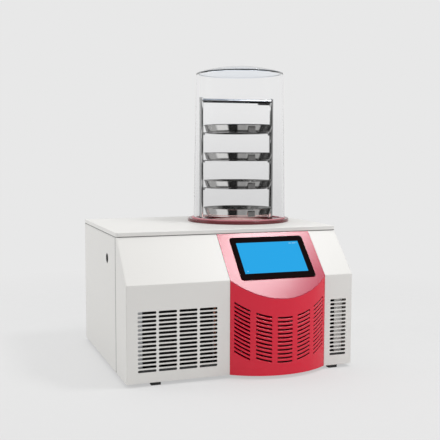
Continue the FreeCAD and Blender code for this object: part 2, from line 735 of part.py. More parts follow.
def red_slots():
    """Slots that run round the bulge parallel to the panel's lower edge line."""
    cutters = []
    fall = SLANT_RISE / SLANT_RUN
    for c in range(RED_COLS):
        middle = (c - (RED_COLS - 1) / 2) * RED_COL_ANGLE
        ends = [math.radians(middle + s * RED_SLOT_ANGLE / 2) for s in (-1, 1)]
        x0, x1 = [PANEL_X + PANEL_R * math.sin(a) for a in ends]
        ys = [PANEL_AXIS_Y - PANEL_R * math.cos(a) for a in ends]
        y0, y1 = min(ys) - 4 * SHEET, max(ys) + 4 * SHEET
        if middle == 0:
            y0 = -BULGE - 4 * SHEET
        rows = RED_OUTER_ROWS if c in (0, RED_COLS - 1) else RED_ROWS
        for r in range(rows):
            z = CREASE_Z - RED_FIRST - r * ROW_PITCH
            h = RED_SLOT_H / 2
            outline = [(y0, z + y0 * fall - h), (y1, z + y1 * fall - h),
                       (y1, z + y1 * fall + h), (y0, z + y0 * fall + h)]
            cutters.append(prism_x(outline, x0, x1))
    return cutters


def centre_panel():
    outer = panel_plan(0, WRAP_D).extrude(V(0, 0, BODY_H)).common(below_slant(0))
    inner = panel_plan(SHEET, WRAP_D + 1).extrude(V(0, 0, BODY_H))
    inner.translate(V(0, 0, SHEET))
    shell = outer.cut(inner.common(below_slant(SHEET)))
    deep = prism_x(front_outline(FLANGE, WRAP_D + 1, -1), PANEL_X0 - 1, PANEL_X1 + 1)
    shell = shell.cut(deep)
    shell = shell.cut(box(PANEL_X0 - 1, PANEL_X1 + 1, SHEET, WRAP_D + 1, -1, PAN_H + SEAM))
    opening = box(GLASS_X - WINDOW_W / 2, GLASS_X + WINDOW_W / 2, GLASS_V - WINDOW_L / 2,
                  GLASS_V + WINDOW_L / 2, -2 * SHEET, SHEET)
    shell = shell.cut(on_slope(opening)).cut(red_slots())
    save("centre_panel", shell)


def flat(w, l, t, n, r=0.0):
    """A plate in line with the glass, drawn flat, its underside at height n."""
    x0, v0 = GLASS_X - w / 2, GLASS_V - l / 2
    return rounded_box(x0, x0 + w, v0, v0 + l, n, n + t, r) if r else \
        box(x0, x0 + w, v0, v0 + l, n, n + t)


def touch_screen():
    """Glass, display and carrier, drawn flat and laid on the slope."""
    glass = flat(GLASS_W, GLASS_L, GLASS_T, 0, GLASS_R)
    top = [e for e in glass.Edges if e.BoundBox.ZMin > GLASS_T - 1e-6]
    save("screen_glass", on_slope(glass.makeChamfer(GLASS_EDGE, top)))
    save("display_panel", on_slope(flat(LCD_W, LCD_L, LCD_T, -LCD_T)))
    rim = flat(WINDOW_W + 2 * CARRIER_SIDE, WINDOW_L + 2 * CARRIER_END, CARRIER_T,
               -SHEET - CARRIER_T)
    inside = (LCD_W + 2 * CARRIER_FIT, LCD_L + 2 * CARRIER_FIT)
    well = flat(inside[0] + 2 * CARRIER_T, inside[1] + 2 * CARRIER_T, LCD_T - SHEET + CARRIER_T,
                -LCD_T - CARRIER_T)
    carrier = join(rim, well).cut(flat(*inside, LCD_T - SHEET, -LCD_T))
    save("screen_carrier", on_slope(carrier))
    controller()


def controller():
    """Board with its parts, on four standoffs behind the carrier."""
    back = -LCD_T - CARRIER_T
    under = back - BOARD_GAP - BOARD_T
    board = flat(BOARD_W, BOARD_L, BOARD_T, under)
    parts = []
    for dx, dv, w, l, h in ((-20, 5, CHIP * 1.4, CHIP * 1.4, CHIP_H),
                            (22, 12, CHIP, CHIP * 0.6, CHIP_H),
                            (25, -14, CHIP, CHIP, CHIP_H),
                            (-52, -20, CHIP, CHIP * 2, 4 * CHIP_H),
                            (56, 0, CHIP * 0.6, CHIP * 3, 4 * CHIP_H)):
        x, v = GLASS_X + dx, GLASS_V + dv
        parts.append(box(x - w / 2, x + w / 2, v - l / 2, v + l / 2, under - h, under))
    save("control_board", on_slope(join(board, *parts)))
    x, v = BOARD_W / 2 - STANDOFF_IN, BOARD_L / 2 - STANDOFF_IN
    posts = [rod(GLASS_X + sx * x, GLASS_V + sv * v, back - BOARD_GAP, STANDOFF_R, BOARD_GAP)
             for sx in (-1, 1) for sv in (-1, 1)]
    save("board_standoffs", *[on_slope(post) for post in posts])


# ---- chamber -------------------------------------------------------------------------------

def cold_trap():
    """A steel pot with a drain spout, and the flange ring that it hangs by."""
    x, y = TRAP_X, TRAP_Y
    pot = rod(x, y, POT_BOTTOM, POT_R, PLATE_TOP + SHEET - POT_BOTTOM)
    pot = pot.makeFillet(TRAP_CORNER + TRAP_WALL, bottom_rim(pot, POT_BOTTOM))
    hollow = rod(x, y, TRAP_FLOOR, TRAP_R, PLATE_TOP + 2 * SHEET - TRAP_FLOOR)
    hollow = hollow.makeFillet(TRAP_CORNER, bottom_rim(hollow, TRAP_FLOOR))
    spout = rod(x, y, POT_BOTTOM - SPOUT_L, DRAIN_R, SPOUT_L + TRAP_WALL / 2)
    drain_hole = rod(x, y, POT_BOTTOM - SPOUT_L - 1, DRAIN_R - DRAIN_WALL,
                     SPOUT_L + TRAP_WALL + 2)
    pot = join(pot, spout).cut([hollow, drain_hole, port_pipe(PORT_BORE)])
    save("cold_trap", pot)
    save("trap_flange", tube(x, y, PLATE_TOP, TRAP_FLANGE_R, POT_R + FIT, SHEET))


def insulation():
    """Foam shell, hollowed for the trap, the coil and the pipes that pass through."""
    x, y, top = TRAP_X, TRAP_Y, BODY_H
    foam = rod(x, y, FOAM_BOTTOM, FOAM_R, top - FOAM_BOTTOM)
    foam = foam.cut([rod(x, y, POT_BOTTOM, FOAM_IN, top - FOAM_NECK - POT_BOTTOM),
                     rod(x, y, POT_BOTTOM, POT_R + FIT, top),
                     rod(x, y, FOAM_BOTTOM - 1, DRAIN_R + HOLE_FIT, FOAM_FLOOR_T + 2),
                     port_pipe(PORT_R + HOLE_FIT),
                     suction_pipe(SUCTION_R + HOLE_FIT), feed_pipe(LIQUID_R + HOLE_FIT)])
    save("trap_insulation", foam)


def bottom_rim(shape, z):
    return [e for e in shape.Edges if e.Closed and abs(e.CenterOfMass.z - z) < 1e-6
            and e.BoundBox.ZLength < 1e-6]


def coil_height(turn):
    return TRAP_FLOOR + COIL_BASE + turn * COIL_PITCH


def evaporator():
    """Turns brazed round the trap, joined by an upright header."""
    turns = [Part.makeTorus(COIL_R, COIL_TUBE_R, V(TRAP_X, TRAP_Y, coil_height(k)))
             for k in range(COIL_TURNS)]
    header = rod(TRAP_X - COIL_R, TRAP_Y, coil_height(0), COIL_TUBE_R * HEADER_SHARE,
                 coil_height(COIL_TURNS - 1) - coil_height(0))
    save("evaporator_coil", join(header, *turns))


def collar():
    x, y, z = TRAP_X, TRAP_Y, PLATE_TOP
    ring = rod(x, y, z, COLLAR_R, COLLAR_H)
    rim = [e for e in ring.Edges if e.Closed and e.BoundBox.ZMin > z + COLLAR_H - 1e-6]
    ring = ring.makeFillet(COLLAR_EDGE, rim)
    ring = ring.cut([rod(x, y, z - 1, TRAP_R, COLLAR_H + 2),
                     rod(x, y, z, TRAP_FLANGE_R + HOLE_FIT, SHEET),
                     tube(x, y, COLLAR_TOP - GROOVE_DEPTH, GROOVE_OUT, GROOVE_IN, GROOVE_DEPTH)])
    save("collar_ring", ring)
    gasket = tube(x, y, COLLAR_TOP - GROOVE_DEPTH, GROOVE_OUT - GASKET_FIT,
                  GROOVE_IN + GASKET_FIT, GASKET_H)
    save("jar_gasket", gasket)


def bell_jar():
    """A clear jar, slightly tapered, closed by a domed top of even thickness."""
    top = JAR_Z + JAR_H
    flat_r = JAR_TOP_R - JAR_SHOULDER
    dome_r = (flat_r ** 2 + JAR_DOME ** 2) / (2 * JAR_DOME)
    outside = jar_body(JAR_BASE_R, JAR_TOP_R, JAR_Z, dome_r, top - dome_r)
    inside = jar_body(JAR_BASE_R - JAR_WALL, JAR_TOP_R - JAR_WALL, JAR_Z, dome_r - JAR_TOP_T,
                      top - dome_r)
    save("bell_jar", outside.cut(inside))


def jar_body(base_r, top_r, z, dome_r, dome_z):
    """A cone under part of a ball, with a rounded shoulder between them."""
    s, k = JAR_SHOULDER, math.sqrt(0.5)
    flat_r = top_r - s
    edge_z = dome_z + math.sqrt(dome_r ** 2 - flat_r ** 2)
    edges = [line(0, z, base_r, z), line(base_r, z, top_r, edge_z - s),
             arc((top_r, edge_z - s), (flat_r + s * k, edge_z - s + s * k), (flat_r, edge_z)),
             line(flat_r, edge_z, 0, edge_z), line(0, edge_z, 0, z)]
    ball = Part.makeSphere(dome_r, V(TRAP_X + JAR_SHIFT, TRAP_Y, dome_z))
    cap = ball.common(rod(TRAP_X + JAR_SHIFT, TRAP_Y, edge_z, flat_r, dome_r))
    return join(turned(edges, TRAP_X + JAR_SHIFT, TRAP_Y), cap)


def in_rack(shape):
    """Take a shape drawn about the rack's own axis to where the rack stands."""
    moved = shape.copy()
    moved.rotate(V(0, 0, 0), V(0, 0, 1), RACK_TURN)
    moved.translate(V(TRAP_X + RACK_SHIFT, TRAP_Y, 0))
    return moved


def tray_floor(k):
    """Underside of tray k, counted from the lowest."""
    return COLLAR_TOP + TRAY_FIRST + k * TRAY_PITCH - TRAY_H


def rack():
    top = COLLAR_TOP + RACK_H
    bar_z = top - RACK_BAR_DROP
    posts = []
    for s in (-1, 1):
        post = rod(s * RACK_HALF, RACK_BACK, COLLAR_TOP, ROD_R, RACK_H)
        cap = [e for e in post.Edges if e.Closed and e.BoundBox.ZMin > top - 1e-6]
        posts.append(post.makeFillet(ROD_EDGE, cap))
    bar = rod(-RACK_HALF, RACK_BACK, bar_z, ROD_R, 2 * RACK_HALF, "x")
    strap_top = bar_z - ROD_R + STRAP_SINK
    x1 = RACK_HALF - ROD_R + STRAP_SINK
    strap = box(x1 - STRAP_L, x1, RACK_BACK - STRAP_T / 2, RACK_BACK + STRAP_T / 2,
                strap_top - STRAP_H, strap_top)
    save("rack_frame", in_rack(join(posts[0], posts[1], bar, strap)))
    for k in range(TRAYS):
        save("support_ring_%d" % (k + 1), in_rack(support_ring(tray_floor(k))))


def support_ring(under):
    """A wire ring under a tray, with an arm to a peg against each upright."""
    z = under - RING_WIRE
    peg_x = RACK_HALF - ROD_R - RUN_GAP - HOOK_R
    start = math.sqrt(RING_R ** 2 - RACK_BACK ** 2) - RING_WIRE / 2
    peg_h = HOOK_H - HOOK_DROP
    shapes = []
    for s in (-1, 1):
        left = min(s * start, s * peg_x)
        shapes.append(rod(left, RACK_BACK, z, ARM_R, peg_x - start, "x"))
        shapes.append(rod(s * peg_x, RACK_BACK, under - HOOK_H, HOOK_R, peg_h))
    return join(Part.makeTorus(RING_R, RING_WIRE, V(0, 0, z)), *shapes)


def trays():
    for k in range(TRAYS):
        save("tray_%d" % (k + 1), tray(tray_floor(k)))


def tray(z):
    """A spun dish with a rolled rim and a grip tab folded out low on its wall."""
    foot_r, wall, corner = TRAY_BASE_R, TRAY_WALL, TRAY_CORNER
    top, top_r = z + TRAY_H - TRAY_LIP, TRAY_R - TRAY_LIP
    lean = (top_r - foot_r) / (TRAY_H - TRAY_LIP)
    r_at = foot_r + lean * corner
    bow = 0.29 * corner
    edges = [line(0, z, foot_r - corner, z),
             arc((foot_r - corner, z), (foot_r - bow, z + bow), (r_at, z + corner)),
             line(r_at, z + corner, top_r, top), line(top_r, top, top_r - wall, top),
             line(top_r - wall, top, r_at - wall, z + corner),
             arc((r_at - wall, z + corner), (foot_r - bow - 0.8 * wall, z + bow + 0.6 * wall),
                 (foot_r - corner, z + wall)),
             line(foot_r - corner, z + wall, 0, z + wall), line(0, z + wall, 0, z)]
    dish = turned(edges, 0, 0)
    roll = Part.makeTorus(top_r, TRAY_LIP, V(0, 0, top))
    whole = join(dish, roll, tray_tab(z, lean))
    whole.translate(V(TRAP_X, TRAP_Y, 0))
    return whole


def tray_tab(z, lean):
    low = z - TAB_LOW
    face = TRAY_BASE_R + lean * TAB_H / 2 + TAB_OUT
    plate = box(face - TAB_T, face, -TAB_W / 2, TAB_W / 2, low, low + TAB_H)
    root = TRAY_BASE_R + lean * (TAB_H - TAB_LOW) - TRAY_WALL / 2
    bridge = box(root, face, -TAB_W / 2, TAB_W / 2, low + TAB_H - TAB_T, low + TAB_H)
    tab = join(plate, bridge)
    tab.rotate(V(0, 0, 0), V(0, 0, 1), TAB_ANGLE)
    return tab


# ---- refrigeration -------------------------------------------------------------------------

def condenser():
    x0, x1, y0, y1 = COND_X0, COND_X1, COND_Y0, DUCT_Y
    z0, z1 = COND_Z0, COND_Z0 + COND_H
    save("condenser_core", box(x0, x1, y0, y1, z0, z1))
    # both end plates stand on the pan; the left one's lip reaches forward and out
    left = join(box(x0 - END_T, x0, END_LIP_Y, y1 + END_SIDE, SHEET, z1),
                box(-HALF_W + END_LIP_IN, x0, END_LIP_Y, END_LIP_Y + END_T, END_LIP_Z, z1))
    right = join(box(x1, x1 + END_T, y0 - END_SIDE, y1 + END_SIDE, SHEET, z1),
                 box(x1, x1 + END_TURN, y1 + END_SIDE - END_T, y1 + END_SIDE, SHEET, z1))
    save("condenser_end_plates", left, right)
    left_bends = [hairpin(x0 - END_T, -1, k + 0.5) for k in range(HAIRPINS)]
    right_bends = [hairpin(x1 + END_T, 1, k + 1) for k in range(HAIRPINS - 1)]
    save("condenser_bends", *left_bends, *right_bends)


def hairpin(face, side, row):
    """A return bend that joins two tubes of the condenser outside an end plate."""
    z, half = COND_Z0 + HAIRPIN_PITCH * row, HAIRPIN_PITCH / 4
    out = face + side * HAIRPIN_OUT
    points = [(face, COND_Y, z - half), (out, COND_Y, z - half), (out, COND_Y, z + half),
              (face, COND_Y, z + half)]
    return pipe(points, half * 0.95, HAIRPIN_R)


def fan():
    y, z, x = DUCT_Y, FAN_Z, COND_X
    plate = box(COND_X0, COND_X1, y, y + DUCT_T, COND_Z0, COND_Z0 + COND_H)
    reach = DUCT_R + DUCT_T
    ring = rod(x, y, z, reach, DUCT_D, "y")
    shroud = join(plate, ring).cut(rod(x, y - 1, z, DUCT_R, DUCT_D + 2, "y"))
    save("fan_shroud", shroud)
    back = CROSS_Y + SHEET
    strap = box(x - reach, x + reach, CROSS_Y, back, z - CROSS_W / 2, z + CROSS_W / 2)
    strap = strap.cut(rod(x, CROSS_Y - 1, z, SHAFT_HOLE, SHEET + 2, "y"))
    save("fan_strap", strap)
    case = rod(x, back, z, MOTOR_R, MOTOR_L, "y")
    rim = [e for e in case.Edges if e.Closed and e.BoundBox.YMin > back + MOTOR_L - 1e-6]
    case = case.makeFillet(MOTOR_EDGE, rim)
    shaft = rod(x, HUB_Y, z, SHAFT_R, back - HUB_Y, "y")
    save("fan_motor", join(case, shaft))
    save("fan_blades", fan_blades())


def blade_end(r, half, low, high, thick):
    """A blade's section at one radius: a flat strip pitched from low to high."""
    return Part.makePolygon([V(r, low, -half), V(r, low + thick, -half), V(r, high, half),
                             V(r, high - thick, half), V(r, low, -half)])


def fan_blades():
    x, z = COND_X, FAN_Z
    hub = rod(x, HUB_Y, z, FAN_HUB_R, FAN_DEPTH, "y")
    root, tip = 0.75 * FAN_HUB_R, 0.4 * FAN_R
    blades = []
    for k in range(FAN_BLADES):
        near = blade_end(FAN_HUB_R - 2, root, 2, FAN_DEPTH - 1, 2)
        far = blade_end(math.sqrt(FAN_R ** 2 - tip ** 2), tip, 2.5, FAN_DEPTH - 1.5, 1.6)
        blade = Part.makeLoft([near, far], True)
        blade.rotate(V(0, 0, 0), V(0, 1, 0), 360.0 * k / FAN_BLADES)
        blade.translate(V(x, HUB_Y, z))
        blades.append(blade)
    bore = rod(x, HUB_Y - 1, z, SHAFT_R + RUN_GAP, FAN_DEPTH + 2, "y")
    return join(hub, *blades).cut(bore)


def compressor_stud_places():
    c = COMP_R + COMP_FOOT_OVER - GROMMET_IN
    return [(COMP_X + sx * c, COMP_Y + sy * c) for sx in (-1, 1) for sy in (-1, 1)]


def compressor():
    x, y, z = COMP_X, COMP_Y, COMP_Z0
    shell = rod(x, y, z, COMP_R, COMP_H)
    rims = [e for e in shell.Edges if e.Closed]
    shell = shell.makeFillet(COMP_DOME, rims)
    seam = rod(x, y, z + COMP_H * 0.45, COMP_R + COMP_SEAM, 2 * COMP_SEAM)
    half = COMP_R + COMP_FOOT_OVER
    foot = rounded_box(x - half, x + half, y - half, y + half, z - COMP_FOOT_T, z,
                       COMP_FOOT_CORNER)
    root = COMP_TOP - COMP_DOME / 2
    stub_out = rod(x + STUB, y - STUB, root, GAS_R + STUB_WALL, COMP_DOME / 2)
    stub_in = rod(x + STUB, TRAP_Y, root, SUCTION_R + STUB_WALL, COMP_DOME / 2)
    whole = join(shell, seam, foot, stub_out, stub_in)
    holes = [rod(px, py, z - COMP_FOOT_T - 1, STUD_R + 3, COMP_FOOT_T + 2)
             for px, py in compressor_stud_places()]
    save("compressor", whole.cut(holes))
    compressor_mounting()
    w = COVER_W / 2
    block = rounded_box(x - w, x + w, y - COMP_R - COVER_OUT, y - COMP_R / 2, COVER_Z,
                        COVER_Z + COVER_H, 4, "y")
    save("terminal_cover", block.cut(rod(x, y, z, COMP_R + HOLE_FIT, COMP_H)))


def compressor_mounting():
    """Rubber grommets under the foot plate, with a stud, washer and nut through each."""
    z = COMP_Z0
    under = z - COMP_FOOT_T
    grommets, studs = [], []
    for px, py in compressor_stud_places():
        grommets.append(tube(px, py, SHEET, GROMMET_R, STUD_R + HOLE_FIT, under - SHEET))
        top = z + WASHER_T + NUT_H + THREAD_OVER
        stud = rod(px, py, -STUD_HEAD, STUD_R, top + STUD_HEAD)
        head = hexagon(px, py, -STUD_HEAD, STUD_R * 1.8, STUD_HEAD)
        hole = rod(px, py, z, STUD_R + RUN_GAP, WASHER_T + NUT_H)
        washer = rod(px, py, z, GROMMET_R - 1, WASHER_T).cut(hole)
        nut = hexagon(px, py, z + WASHER_T, STUD_R * 1.8, NUT_H).cut(hole)
        studs += [join(stud, head), washer, nut]
    save("compressor_grommets", *grommets)
    save("compressor_bolts", *studs)


def port_pipe(r):
    """The vacuum pipe's round outline, from the left side panel to the trap."""
    x_in = TRAP_X - PORT_INTO
    y_in = TRAP_Y - math.sqrt(POT_R ** 2 - PORT_INTO ** 2)
    return pipe([(-HALF_W, PORT_Y, PORT_Z), (x_in, PORT_Y, PORT_Z),
                 (x_in, y_in + PORT_R, PORT_Z)], PORT_BEND, r)


def vacuum_line():
    z = PORT_Z + PORT_R + GAUGE_NECK
    branch = rod(GAUGE_X, PORT_Y, PORT_Z, GAUGE_NECK_R, z - PORT_Z)
    vacuum_pipe = join(port_pipe(PORT_R), branch).cut(port_pipe(PORT_BORE))
    vacuum_pipe = vacuum_pipe.cut(rod(TRAP_X, TRAP_Y, POT_BOTTOM, POT_R + FIT, BODY_H))
    save("vacuum_pipe", vacuum_pipe)
    gauge = rod(GAUGE_X, PORT_Y, z, GAUGE_R, GAUGE_H)
    top = [e for e in gauge.Edges if e.Closed and e.BoundBox.ZMin > z + GAUGE_H - 1e-6]
    save("vacuum_gauge", gauge.makeFillet(2, top))


def coil_side():
    """Left side of the evaporator coil, where its two pipes join it."""
    return TRAP_X - COIL_R - COIL_TUBE_R - FIT


def discharge_pipe():
    """From the compressor's front stub over and down to the condenser's top tube."""
    x, y, high = COMP_X + STUB, COMP_Y - STUB, COMP_TOP + GAS_RISE
    z_in = COND_Z0 + COND_H - HAIRPIN_PITCH / 4
    return pipe([(x, y, COMP_TOP), (x, y, high), (DRIER_X, y, high), (DRIER_X, COND_Y, high),
                 (DRIER_X, COND_Y, z_in), (COND_X1 + END_T, COND_Y, z_in)], GAS_BEND, GAS_R)


def suction_pipe(r):
    """From the coil's top turn through the insulation to the compressor."""
    x, high = COMP_X + STUB, coil_height(COIL_TURNS - 1)
    return pipe([(coil_side(), TRAP_Y, high), (x, TRAP_Y, high), (x, TRAP_Y, COMP_TOP)],
                SUCTION_BEND, r)


def feed_pipe(r):
    """From the drier's top to the coil's lowest turn."""
    start = DRIER_Z + DRIER_L + DRIER_NECK
    high, low, y = start + FEED_RISE, coil_height(0), TRAP_Y - FEED_SIDE
    x_end = TRAP_X - math.sqrt(COIL_R ** 2 - FEED_SIDE ** 2)
    return pipe([(DRIER_X, DRIER_Y, start), (DRIER_X, DRIER_Y, high), (DRIER_X, y, high),
                 (DRIER_X, y, low), (x_end, y, low)], FEED_BEND, r)


def liquid_pipe():
    """From the condenser's bottom tube down and back to the drier's lower neck."""
    out = COND_Z0 + HAIRPIN_PITCH / 4
    low = out - LIQUID_DROP
    return pipe([(COND_X1 + END_T, COND_Y, out), (DRIER_X, COND_Y, out), (DRIER_X, COND_Y, low),
                 (DRIER_X, DRIER_Y, low), (DRIER_X, DRIER_Y, DRIER_Z - DRIER_NECK)],
                LIQUID_BEND, LIQUID_R)


def plumbing():
    save("discharge_pipe", discharge_pipe())
    save("suction_pipe", suction_pipe(SUCTION_R))
    save("liquid_pipe", liquid_pipe())
    coil = Part.makeTorus(COIL_R, COIL_TUBE_R + RUN_GAP, V(TRAP_X, TRAP_Y, coil_height(0)))
    save("capillary_pipe", feed_pipe(LIQUID_R).cut(coil))
    drier = rod(DRIER_X, DRIER_Y, DRIER_Z, DRIER_R, DRIER_L)
    rims = [e for e in drier.Edges if e.Closed]
    drier = drier.makeFillet(DRIER_R * 0.6, rims)
    necks = rod(DRIER_X, DRIER_Y, DRIER_Z - DRIER_NECK, LIQUID_R + 1, DRIER_L + 2 * DRIER_NECK)
    save("filter_drier", join(drier, necks))


# ---- drain and electrics -------------------------------------------------------------------

def drain():
    points = [(TRAP_X, TRAP_Y, POT_BOTTOM - SPOUT_L), (TRAP_X, TRAP_Y, DRAIN_Z),
              (TRAP_X, BODY_D, DRAIN_Z)]
    hollow = pipe(points, DRAIN_BEND, DRAIN_R - DRAIN_WALL)
    save("drain_pipe", pipe(points, DRAIN_BEND, DRAIN_R).cut(hollow))
    y0, w = BODY_D, VALVE_W / 2
    y_mid, top = y0 + VALVE_L / 2, DRAIN_Z + w
    body = rounded_box(TRAP_X - w, TRAP_X + w, y0, y0 + VALVE_L, DRAIN_Z - w, top,
                       VALVE_CORNER, "y")
    body = join(body, rod(TRAP_X, y0 + VALVE_L, DRAIN_Z, NOZZLE_R, NOZZLE_L, "y"),
                rod(TRAP_X, y_mid, top, NECK_R, NECK_H))
    bore = rod(TRAP_X, y0, DRAIN_Z, NOZZLE_R - DRAIN_WALL, VALVE_OUT + 1, "y")
    well = rod(TRAP_X, y_mid, top - STEM_WELL, STEM_R + RUN_GAP, STEM_WELL + NECK_H + 1)
    save("drain_valve", body.cut([bore, well]))
    z, foot = top + NECK_H + HOLE_FIT, top - STEM_IN
    arm = rounded_box(TRAP_X - LEVER_L, TRAP_X + LEVER_TAIL, y_mid - LEVER_W / 2,
                      y_mid + LEVER_W / 2, z, z + LEVER_T, 0.45 * LEVER_W)
    boss = rod(TRAP_X, y_mid, z, LEVER_TAIL, LEVER_T + LEVER_BOSS)
    save("drain_lever", join(arm, boss, rod(TRAP_X, y_mid, foot, STEM_R, z + LEVER_T - foot)))


def window(x, w, h, y0, y1, r=0.0):
    """A block through the rear face, centred on x at the sockets' height."""
    size = (x - w / 2, x + w / 2, y0, y1, INLET_Z - h / 2, INLET_Z + h / 2)
    return rounded_box(*size, r, "y") if r else box(*size)


def socket(x, pins):
    """A coupler: the power inlet has pins in a cavity, the pump outlet has slots for pins."""
    y = BODY_D
    block = join(window(x, INLET_W, INLET_H, y, y + INLET_T, CORNER),
                 window(x, BLOCK_W, BLOCK_H, y - BLOCK_D, y, CORNER))
    if pins:
        block = block.cut(window(x, CAVITY_W, CAVITY_H, y - CAVITY_D, y + INLET_T, CORNER))
    half_t, half_w, front = PIN_T / 2, PIN_W / 2, y - 1
    if not pins:
        half_t, half_w, front = half_t + PIN_SLOT_FIT, half_w + PIN_SLOT_FIT, y + INLET_T
    blades = [box(x + dx - half_t, x + dx + half_t, y - CAVITY_D - 1, front,
                  INLET_Z + dz - half_w, INLET_Z + dz + half_w) for dx, dz in PINS]
    return join(block, *blades) if pins else block.cut(blades)


def electrics():
    save("power_inlet", socket(INLET_X, True))
    save("pump_outlet", socket(OUTLET_X, False))
    power_switch()
    case = box(PSU_X, PSU_X + PSU_W, PSU_Y, PSU_Y + PSU_D, SHEET, SHEET + PSU_H)
    top = SHEET + PSU_H
    vents = []
    for k in range(int((PSU_W - 2 * VENT_SIDE) / VENT_PITCH)):
        x = PSU_X + VENT_SIDE + VENT_PITCH * k
        vents.append(box(x, x + VENT_W, PSU_Y + VENT_END, PSU_Y + PSU_D - VENT_END,
                         top - VENT_DEEP, top + 1))
    save("power_supply", case.cut(vents))


def power_switch():
    x, y = SWITCH_X, BODY_D
    rim = window(x, SWITCH_W + 2 * SWITCH_RIM, SWITCH_H + 2 * SWITCH_RIM, y, y + SWITCH_RIM_T,
                 SWITCH_RIM)
    case = join(rim, window(x, SWITCH_W, SWITCH_H, y - SWITCH_D, y))
    pocket_w, pocket_h = SWITCH_W - 2 * SWITCH_WALL, SWITCH_H - 2 * SWITCH_END
    pocket = window(x, pocket_w, pocket_h, y - POCKET_D, y + SWITCH_RIM_T + 1)
    pin_w = pocket_w + SWITCH_WALL
    pin = rod(x - pin_w / 2, y - PIVOT_IN, INLET_Z, PIVOT_R, pin_w, "x")
    save("power_switch", join(case.cut(pocket), pin))
    # the rocker stands with its upper end pressed out
    half = pocket_h / 2 - SWITCH_END
    outline = [(y - 6, -4), (y - 1, -half), (y + 1.6, -half + 0.4), (y + 0.8, 0),
               (y + 3.8, half - 0.9), (y + 0.6, half - 0.2), (y - 6, 4)]
    wide = pocket_w / 2 - ROCKER_GAP
    rocker = prism_x([(ry, INLET_Z + rz) for ry, rz in outline], x - wide, x + wide)
    bore = rod(x - SWITCH_W / 2, y - PIVOT_IN, INLET_Z, PIVOT_R + RUN_GAP, SWITCH_W, "x")
    save("power_rocker", rocker.cut(bore))


def main():
    os.makedirs("parts", exist_ok=True)
    cabinet()
    feet()
    centre_panel()
    touch_screen()
    cold_trap()
    insulation()
    evaporator()
    collar()
    bell_jar()
    rack()
    trays()
    condenser()
    fan()
    compressor()
    vacuum_line()
    plumbing()
    drain()
    electrics()


main()
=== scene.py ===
import json
import math
import bmesh
import bpy
from mathutils import Matrix, Vector

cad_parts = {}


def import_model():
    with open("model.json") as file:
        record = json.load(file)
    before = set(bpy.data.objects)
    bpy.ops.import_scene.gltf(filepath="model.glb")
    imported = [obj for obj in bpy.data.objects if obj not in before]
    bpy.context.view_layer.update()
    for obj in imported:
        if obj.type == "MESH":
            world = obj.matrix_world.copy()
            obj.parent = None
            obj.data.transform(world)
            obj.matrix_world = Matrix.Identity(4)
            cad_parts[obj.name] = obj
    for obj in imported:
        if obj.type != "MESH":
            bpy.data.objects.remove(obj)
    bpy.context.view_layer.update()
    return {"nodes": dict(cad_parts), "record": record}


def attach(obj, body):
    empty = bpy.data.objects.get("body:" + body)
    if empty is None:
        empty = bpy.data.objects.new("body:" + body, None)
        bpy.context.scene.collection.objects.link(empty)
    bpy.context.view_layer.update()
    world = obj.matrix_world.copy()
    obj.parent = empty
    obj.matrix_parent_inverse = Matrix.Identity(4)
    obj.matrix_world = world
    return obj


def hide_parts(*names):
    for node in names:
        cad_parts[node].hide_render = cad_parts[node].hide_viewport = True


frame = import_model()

# Finish of a benchtop freeze dryer: metres, +Z up, front towards -Y, x = 0 in the middle of the
# cabinet, z = 0 on the bench. Shapes are drawn in millimetres and scaled once, in mesh_from.

NODES = frame["nodes"]
MM = 0.001


# ---- small helpers -------------------------------------------------------------------------

def put(tree, kind, inputs=None, **settings):
    """Add a node, set its settings and fill its inputs with values or links."""
    node = tree.nodes.new(kind)
    for key, value in settings.items():
        setattr(node, key, value)
    for key, value in (inputs or {}).items():
        if isinstance(value, bpy.types.NodeSocket):
            tree.links.new(value, node.inputs[key])
        else:
            node.inputs[key].default_value = value
    return node


def maths(tree, operation, a, b=0.0):
    return put(tree, "ShaderNodeMath", {0: a, 1: b}, operation=operation).outputs[0]


def new_object(name, mesh):
    made = bpy.data.objects.new(name, mesh)
    bpy.context.scene.collection.objects.link(made)
    return made


def smooth(mesh, angle=35.0):
    """Smooth shading, with sharp edges where faces meet at more than an angle."""
    for face in mesh.polygons:
        face.use_smooth = True
    mesh.set_sharp_from_angle(angle=math.radians(angle))


def finished(made, body, replaced=()):
    """Ride on a body, and stand for CAD nodes."""
    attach(made, body)
    if replaced:
        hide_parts(*replaced)
    return made


def mesh_from(name, bm, angle=35.0):
    """A mesh in metres from a closed bmesh in millimetres, its faces turned outwards."""
    bmesh.ops.remove_doubles(bm, verts=bm.verts, dist=1e-4)
    bmesh.ops.recalc_face_normals(bm, faces=bm.faces)
    bmesh.ops.scale(bm, vec=(MM, MM, MM), verts=bm.verts)
    mesh = bpy.data.meshes.new(name)
    bm.to_mesh(mesh)
    bm.free()
    smooth(mesh, angle)
    return mesh


def piece(name, bm, material, angle=35.0):
    """A finished piece from a bmesh in millimetres."""
    mesh = mesh_from(name, bm, angle)
    mesh.materials.append(MATERIALS[material])
    return new_object(name, mesh)


def rounded(points, steps=4):
    """An outline of (u, v, radius) corners with each corner rounded."""
    out = []
    count = len(points)
    for i, (u, v, radius) in enumerate(points):
        here = Vector((u, v))
        if radius <= 0:
            out.append(here)
            continue
        back = (Vector(points[i - 1][:2]) - here).normalized()
        on = (Vector(points[(i + 1) % count][:2]) - here).normalized()
        half = back.angle(on) / 2
        reach = radius / math.tan(half)
        start, end = here + back * reach, here + on * reach
        centre = here + (back + on).normalized() * (radius / math.sin(half))
        a, b = start - centre, end - centre
        turn = a.angle_signed(b)
        for k in range(steps + 1):
            spin = Matrix.Rotation(-turn * k / steps, 2)
            out.append(centre + spin @ a)
    return out


